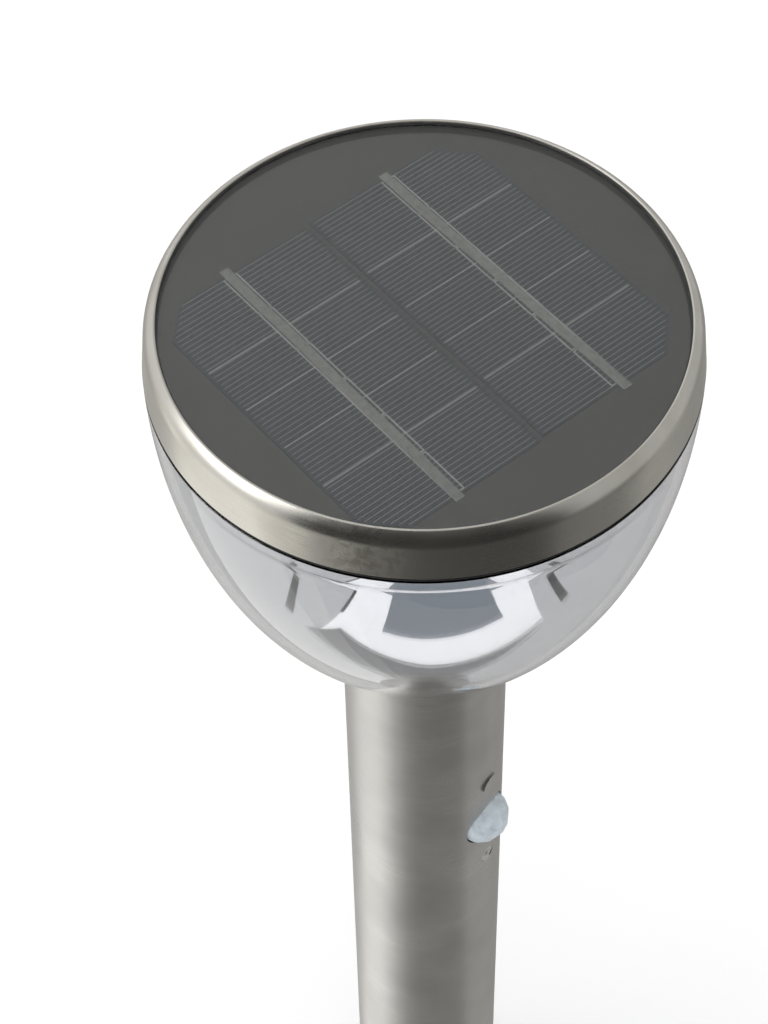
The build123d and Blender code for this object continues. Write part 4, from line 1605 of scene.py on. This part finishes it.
@dataclass
class LightRing(Assembly):
    """The tray and the ring of lights under it."""

    body: Body = Body.HEAD
    count: int = 12
    radius: float = 78.7
    board_under: float = 589.8

    def build(self) -> None:
        """Makes the seals, the board, the lights and their cover."""
        self.fit_copies({"head_tray": TRAY_PLASTIC, "spigot_seal": BLACK_RUBBER})
        board = [(75.2, 589.8), (82.2, 589.8), (82.2, 591.4), (75.2, 591.4)]
        self.fit(revolve("light_board", board), BOARD_WHITE, ("led_board",))
        trough = [
            (73.7, 580.3), (74.0, 580.0), (83.3, 580.0), (83.6, 580.3), (83.6, 591.4), (82.6, 591.4),
            (82.6, 581.4), (74.8, 581.4), (74.8, 591.4), (73.7, 591.4),
        ]
        self.fit(revolve("light_cover", trough), OPAL_LENS, ("led_lens",))
        ring = ring_pattern()
        body = {
            "Count": self.count,
            "Radius": self.radius * MM,
            "Size": (3.0 * MM, 3.0 * MM, 0.8 * MM),
            "Level": (self.board_under - 0.4) * MM,
        }
        self.fit(ring.grow("light_bodies", BOARD_WHITE, body), BOARD_WHITE, ("leds",))
        glow = {**body, "Size": (2.3 * MM, 2.3 * MM, 0.6 * MM), "Level": (self.board_under - 1.1) * MM}
        self.fit(ring.grow("light_phosphor", LED_YELLOW, glow), LED_YELLOW)


@dataclass
class Electronics(Assembly):
    """The cover under the tray, with the battery bay, the board and the connector."""

    body: Body = Body.HEAD
    bay: float = 35.5
    cell_level: float = 578.8
    pitch: float = 19.4
    cell_radius: float = 9.2
    cell_length: float = 65.2
    bay_half: float = 37.5

    def build(self) -> None:
        """Makes the cells and their contacts, and finishes the rest."""
        self.fit_copies({"head_cover": TRAY_PLASTIC, "battery_holder": INNER_PLASTIC})
        self.fit_copies({"control_board": BOARD_GREEN})
        self.fit_copies({"board_parts": CHIP_BLACK, "switch_body": CHIP_BLACK}, 0.2)
        self.fit_copies({"head_plug": CONNECTOR_PLASTIC, "plug_cable": CABLE_BLACK})
        self.fit_copies({"battery_lead": LEAD_RED, "panel_leads": LEAD_RED})
        self.fit_copies({"door_pin": SCREW_STEEL, "board_screws": SCREW_STEEL})
        self.fit_copies({"cover_screws": SCREW_STEEL}, 0.15)
        self.fit_cells()
        self.fit_contacts()

    def fit_cells(self) -> None:
        """Makes the two wrapped cells, each with its bare cap."""
        half = self.cell_length / 2
        wrap = [
            (0.0, -half + 0.2), (6.6, -half + 0.2), (7.2, -half), (self.cell_radius - 0.6, -half),
            (self.cell_radius, -half + 0.6), (self.cell_radius, half - 1.6),
            (self.cell_radius - 0.6, half - 1.0), (6.0, half - 1.0), (6.0, half - 1.4), (0.0, half - 1.4),
        ]
        cap = [(0.0, half - 1.4), (4.6, half - 1.4), (4.6, half - 0.5), (4.1, half), (0.0, half)]
        for side in (-1, 1):
            flip = Matrix.Rotation(math.radians(180.0) if side > 0 else 0.0, 4, "X")
            centre = Matrix.Translation((self.bay + side * self.pitch / 2, 0.0, 0.0))
            seat = centre @ facing_front(0.0, self.cell_level) @ flip
            letter = "a" if side < 0 else "b"
            wrapped = revolve("cell_wrap_" + letter, wrap, 96, seat)
            self.fit(wrapped, CELL_WRAP, ("battery_cells",) if side < 0 else ())
            self.fit(revolve("cell_cap_" + letter, cap, 64, seat), CONTACT_NICKEL)

    def fit_contacts(self) -> None:
        """Makes the spring contacts at both ends of the bay."""
        coils = coil_pattern()
        gap = self.bay_half - self.cell_length / 2
        values = {
            "Count": 2, "Pitch": self.pitch * MM, "Wide": 3.2 * MM, "Narrow": 2.0 * MM,
            "Height": (gap - 1.3) * MM, "Wire": 0.35 * MM, "Turns": 3.5, "Plate": 9.0 * MM,
        }
        for end, name in ((-1, "front"), (1, "back")):
            turn = Matrix.Rotation(math.radians(90.0 * end), 4, "X")
            place = Vector((self.bay, end * self.bay_half, self.cell_level)) * MM
            seat = Matrix.Translation(place) @ turn
            replaced = ("battery_contacts",) if end < 0 else ()
            self.fit(coils.grow("springs_" + name, CONTACT_NICKEL, values, seat), CONTACT_NICKEL, replaced)


@dataclass
class BatteryDoor(Assembly):
    """The hinged door of the battery bay."""

    body: Body = Body.DOOR

    def build(self) -> None:
        """Makes the door."""
        self.fit_copies({"battery_door": DOOR_PLASTIC})


@dataclass
class SwitchKnob(Assembly):
    """The knob of the slide switch."""

    body: Body = Body.KNOB

    def build(self) -> None:
        """Makes the knob."""
        self.fit_copies({"switch_knob": KNOB_PLASTIC}, 0.15)


# ------------------------------------------------------------------------------- studio
@dataclass
class Studio:
    """A pale floor, soft light, cards that only reflections see, and the camera."""

    eye: Spot = (-479.3, -341.3, 1274.2)
    forward: Spot = (0.48318, 0.36152, -0.79740)
    up: Spot = (0.65204, 0.45925, 0.60330)
    lens: float = 99.9
    world: float = 0.75
    floor_tone: float = 0.94

    def build(self) -> None:
        """Sets the whole studio up."""
        scene = bpy.context.scene
        scene.view_settings.view_transform = "Standard"
        self.set_world(scene)
        self.set_floor()
        self.set_lights()
        self.set_cards()
        self.set_camera(scene)

    def towards(self) -> Vector:
        """The level direction from the light to the camera."""
        return -Vector((self.forward[0], self.forward[1], 0.0)).normalized()

    def rightwards(self) -> Vector:
        """The level direction to the camera's right."""
        return self.towards().cross(Vector((0.0, 0.0, -1.0)))

    def level_spot(self, right: float, nearer: float, height: float = 0.0) -> Vector:
        """A spot in metres, from distances in millimetres.

        Args:
            right: distance to the camera's right of the post.
            nearer: distance from the post towards the camera.
            height: level above the floor.

        Returns:
            The spot.
        """
        level = self.rightwards() * right + self.towards() * nearer
        return (level + Vector((0.0, 0.0, height))) * MM

    def set_world(self, scene: bpy.types.Scene) -> None:
        """Surrounds the scene with soft light, a little stronger from the camera's left.

        Args:
            scene: the scene.
        """
        world = bpy.data.worlds.new("surroundings")
        world.use_nodes = True
        tree = world.node_tree
        direction = tree.nodes.new("ShaderNodeTexCoord").outputs["Generated"]
        sideways = tree.nodes.new("ShaderNodeVectorMath")
        sideways.operation = "DOT_PRODUCT"
        sideways.inputs[1].default_value = self.rightwards()
        fade = tree.nodes.new("ShaderNodeMapRange")
        fade.inputs["From Min"].default_value = -0.3
        fade.inputs["From Max"].default_value = 0.3
        fade.inputs["To Min"].default_value = self.world * 1.2
        fade.inputs["To Max"].default_value = self.world * 0.8
        tree.links.new(direction, sideways.inputs[0])
        tree.links.new(sideways.outputs["Value"], fade.inputs["Value"])
        tree.links.new(fade.outputs["Result"], tree.nodes["Background"].inputs["Strength"])
        tree.nodes["Background"].inputs["Color"].default_value = (1.0, 1.0, 1.0, 1.0)
        scene.world = world

    def set_floor(self) -> None:
        """Lays the floor."""
        half, level = 4000.0, -0.2
        corners = [(x * half, y * half, level) for x, y in ((-1, -1), (1, -1), (1, 1), (-1, 1))]
        floor = from_points("floor", corners, [(0, 1, 2, 3)])
        tone = self.floor_tone
        floor.data.materials.append(Flat("pale_floor", (tone, tone, tone)).material())

    def set_lights(self) -> None:
        """Hangs a soft light overhead and another to the camera's left."""
        overhead = self.hang_light("overhead", Vector((0.0, 0.0, 2.6)), 1.4, 22.0)
        overhead.visible_glossy = False
        left = self.hang_light("left", self.level_spot(-1500.0, 300.0, 1600.0), 1.2, 9.0)
        left.data.use_shadow = False

    def hang_light(self, name: str, place: Vector, size: float, power: float) -> bpy.types.Object:
        """Hangs one square soft light that looks at the bowl.

        Args:
            name: the light's name.
            place: where it hangs, in metres.
            size: its side in metres.
            power: its power in watts.

        Returns:
            The light.
        """
        data = bpy.data.lights.new(name, "AREA")
        data.size = size
        data.energy = power
        lamp = bpy.data.objects.new(name, data)
        lamp.location = place
        look = Vector((0.0, 0.0, 0.5)) - place
        lamp.rotation_euler = look.to_track_quat("-Z", "Y").to_euler()
        bpy.context.scene.collection.objects.link(lamp)
        return lamp

    def set_cards(self) -> None:
        """Lays the cards that show in the bowl, and those that show in the steel."""
        around = [(-2500, -2500), (2500, -2500), (2500, 2500), (-2500, 2500)]
        front = [(-210, 118), (235, 118), (310, 430), (-210, 430)]
        blue = [(-105, 240), (180, 240), (180, 600), (-105, 600)]
        # foot: outline of a painted shadow, the head's soft shadow on the floor round the post
        foot = [(-186, 175), (2, 118), (136, 106), (223, 99), (2, 27), (-225, 71)]
        self.card("bowl_around", Seen.IN_BOWL, around, 0.68, 0.5)
        self.card("bowl_front", Seen.IN_BOWL, front, 1.35, 1.0)
        self.card("bowl_blue", Seen.IN_BOWL, blue, 0.36, 2.0, (0.90, 0.98, 1.06))
        # painted shadow: a grey card that stands for the head's soft shadow on the floor round the foot, as
        # the bowl reflects it
        self.card("bowl_foot_shadow", Seen.IN_BOWL, foot, 0.31, 4.0)
        for name, near, far, width in (
            ("left_bar", (-278, 69), (-351, 221), 22),
            ("right_bar", (278, 102), (319, 259), 22),
            ("left_line", (-212, 240), (-212, 400), 8),
        ):
            bar = [near, far, (far[0] + width, far[1]), (near[0] + width, near[1])]
            self.card("bowl_" + name, Seen.IN_BOWL, bar, 0.12, 5.0)
        for start, end, tone in (
            (-180, -108, 0.50), (-108, -60, 1.18), (-60, -46, 0.86), (-46, -32, 0.56), (-32, -18, 0.38),
            (-18, 55, 0.32), (55, 105, 0.44), (105, 180, 0.36),
        ):
            self.wedge("steel_near", start, end, 0.0, tone, 0.6)
        for start, end, tone in ((-42, -26, 0.36), (-26, -8, 0.18), (-8, 46, 0.07), (46, 80, 0.22)):
            self.wedge("steel_far", start, end, 420.0, tone, 1.2)
        wall = [(-1300, 5), (1300, 5), (1300, 3200), (-1300, 3200)]
        corners = [self.level_spot(right, 1200.0, height) for right, height in wall]
        self.reflected("steel_wall", Seen.IN_STEEL, corners, 0.03, (1.0, 1.0, 1.0))

    def card(
        self, name: str, seen: Seen, outline: Sequence[Point], tone: float, height: float,
        tint: Colour = (1.0, 1.0, 1.0)
    ) -> None:
        """Lays a level card.

        Args:
            name: the card's name.
            seen: what it shows in.
            outline: its corners, as distances to the right of the post and towards the camera.
            tone: how bright it looks.
            height: its level above the floor in millimetres.
            tint: its colour.
        """
        corners = [self.level_spot(right, nearer, height) for right, nearer in outline]
        self.reflected(name, seen, corners, tone, tint)

    def wedge(
        self, name: str, start: float, end: float, inner: float, tone: float, height: float
    ) -> None:
        """Lays a level card that shows in the steel and spans some directions seen from the post.

        Args:
            name: what the card's name starts with.
            start: its first direction, in degrees to the right of the one towards the camera.
            end: its last direction.
            inner: how far from the post it starts.
            tone: how bright it looks.
            height: its level above the floor in millimetres.
        """
        outer = 3000.0
        outline: list[Point] = []
        for reach, angles in ((outer, (start, end)), (inner, (end, start))):
            for angle in angles:
                turn = math.radians(angle)
                outline.append((reach * math.sin(turn), reach * math.cos(turn)))
        if inner == 0.0:
            outline.pop()
        self.card(f"{name}_{start + 180:.0f}", Seen.IN_STEEL, outline, tone, height, (1.0, 0.99, 0.96))

    def reflected(
        self, name: str, seen: Seen, corners: Sequence[Vector], tone: float, tint: Colour
    ) -> None:
        """Makes a flat card that shows in reflections only.

        Args:
            name: the card's name.
            seen: what it shows in.
            corners: its corners in metres.
            tone: how bright it looks.
            tint: its colour.
        """
        card = from_points(name, [corner / MM for corner in corners], [list(range(len(corners)))])
        card.data.materials.append(Glow(name + "_tone", tint, strength=tone).material())
        card.visible_camera = False
        card.visible_diffuse = False
        card.visible_shadow = False
        card.visible_glossy = seen is Seen.IN_STEEL
        card.visible_transmission = seen is Seen.IN_BOWL

    def set_camera(self, scene: bpy.types.Scene) -> None:
        """Sets the camera where it looks down on the head.

        Args:
            scene: the scene.
        """
        data = bpy.data.cameras.new("camera")
        data.lens = self.lens
        data.sensor_width = 36.0
        data.clip_start = 0.01
        data.dof.use_dof = False
        camera = bpy.data.objects.new("camera", data)
        ahead = Vector(self.forward).normalized()
        over = Vector(self.up).normalized()
        turn = Matrix((ahead.cross(over), over, -ahead)).transposed().to_4x4()
        camera.matrix_world = Matrix.Translation(Vector(self.eye) * MM) @ turn
        scene.collection.objects.link(camera)
        scene.camera = camera


def main() -> None:
    """Builds the light and its studio, in order."""
    logging.basicConfig(level=logging.INFO, format="%(name)s: %(message)s")
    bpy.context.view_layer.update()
    assemblies = (
        Post(), Sensor(), Bowl(), Rim(), Panel(), LightRing(), Electronics(), BatteryDoor(), SwitchKnob(),
    )
    for assembly in assemblies:
        log.info("building %s", type(assembly).__name__)
        assembly.build()
    Studio().build()
    log.info("done")


if __name__ == "__main__":
    main()
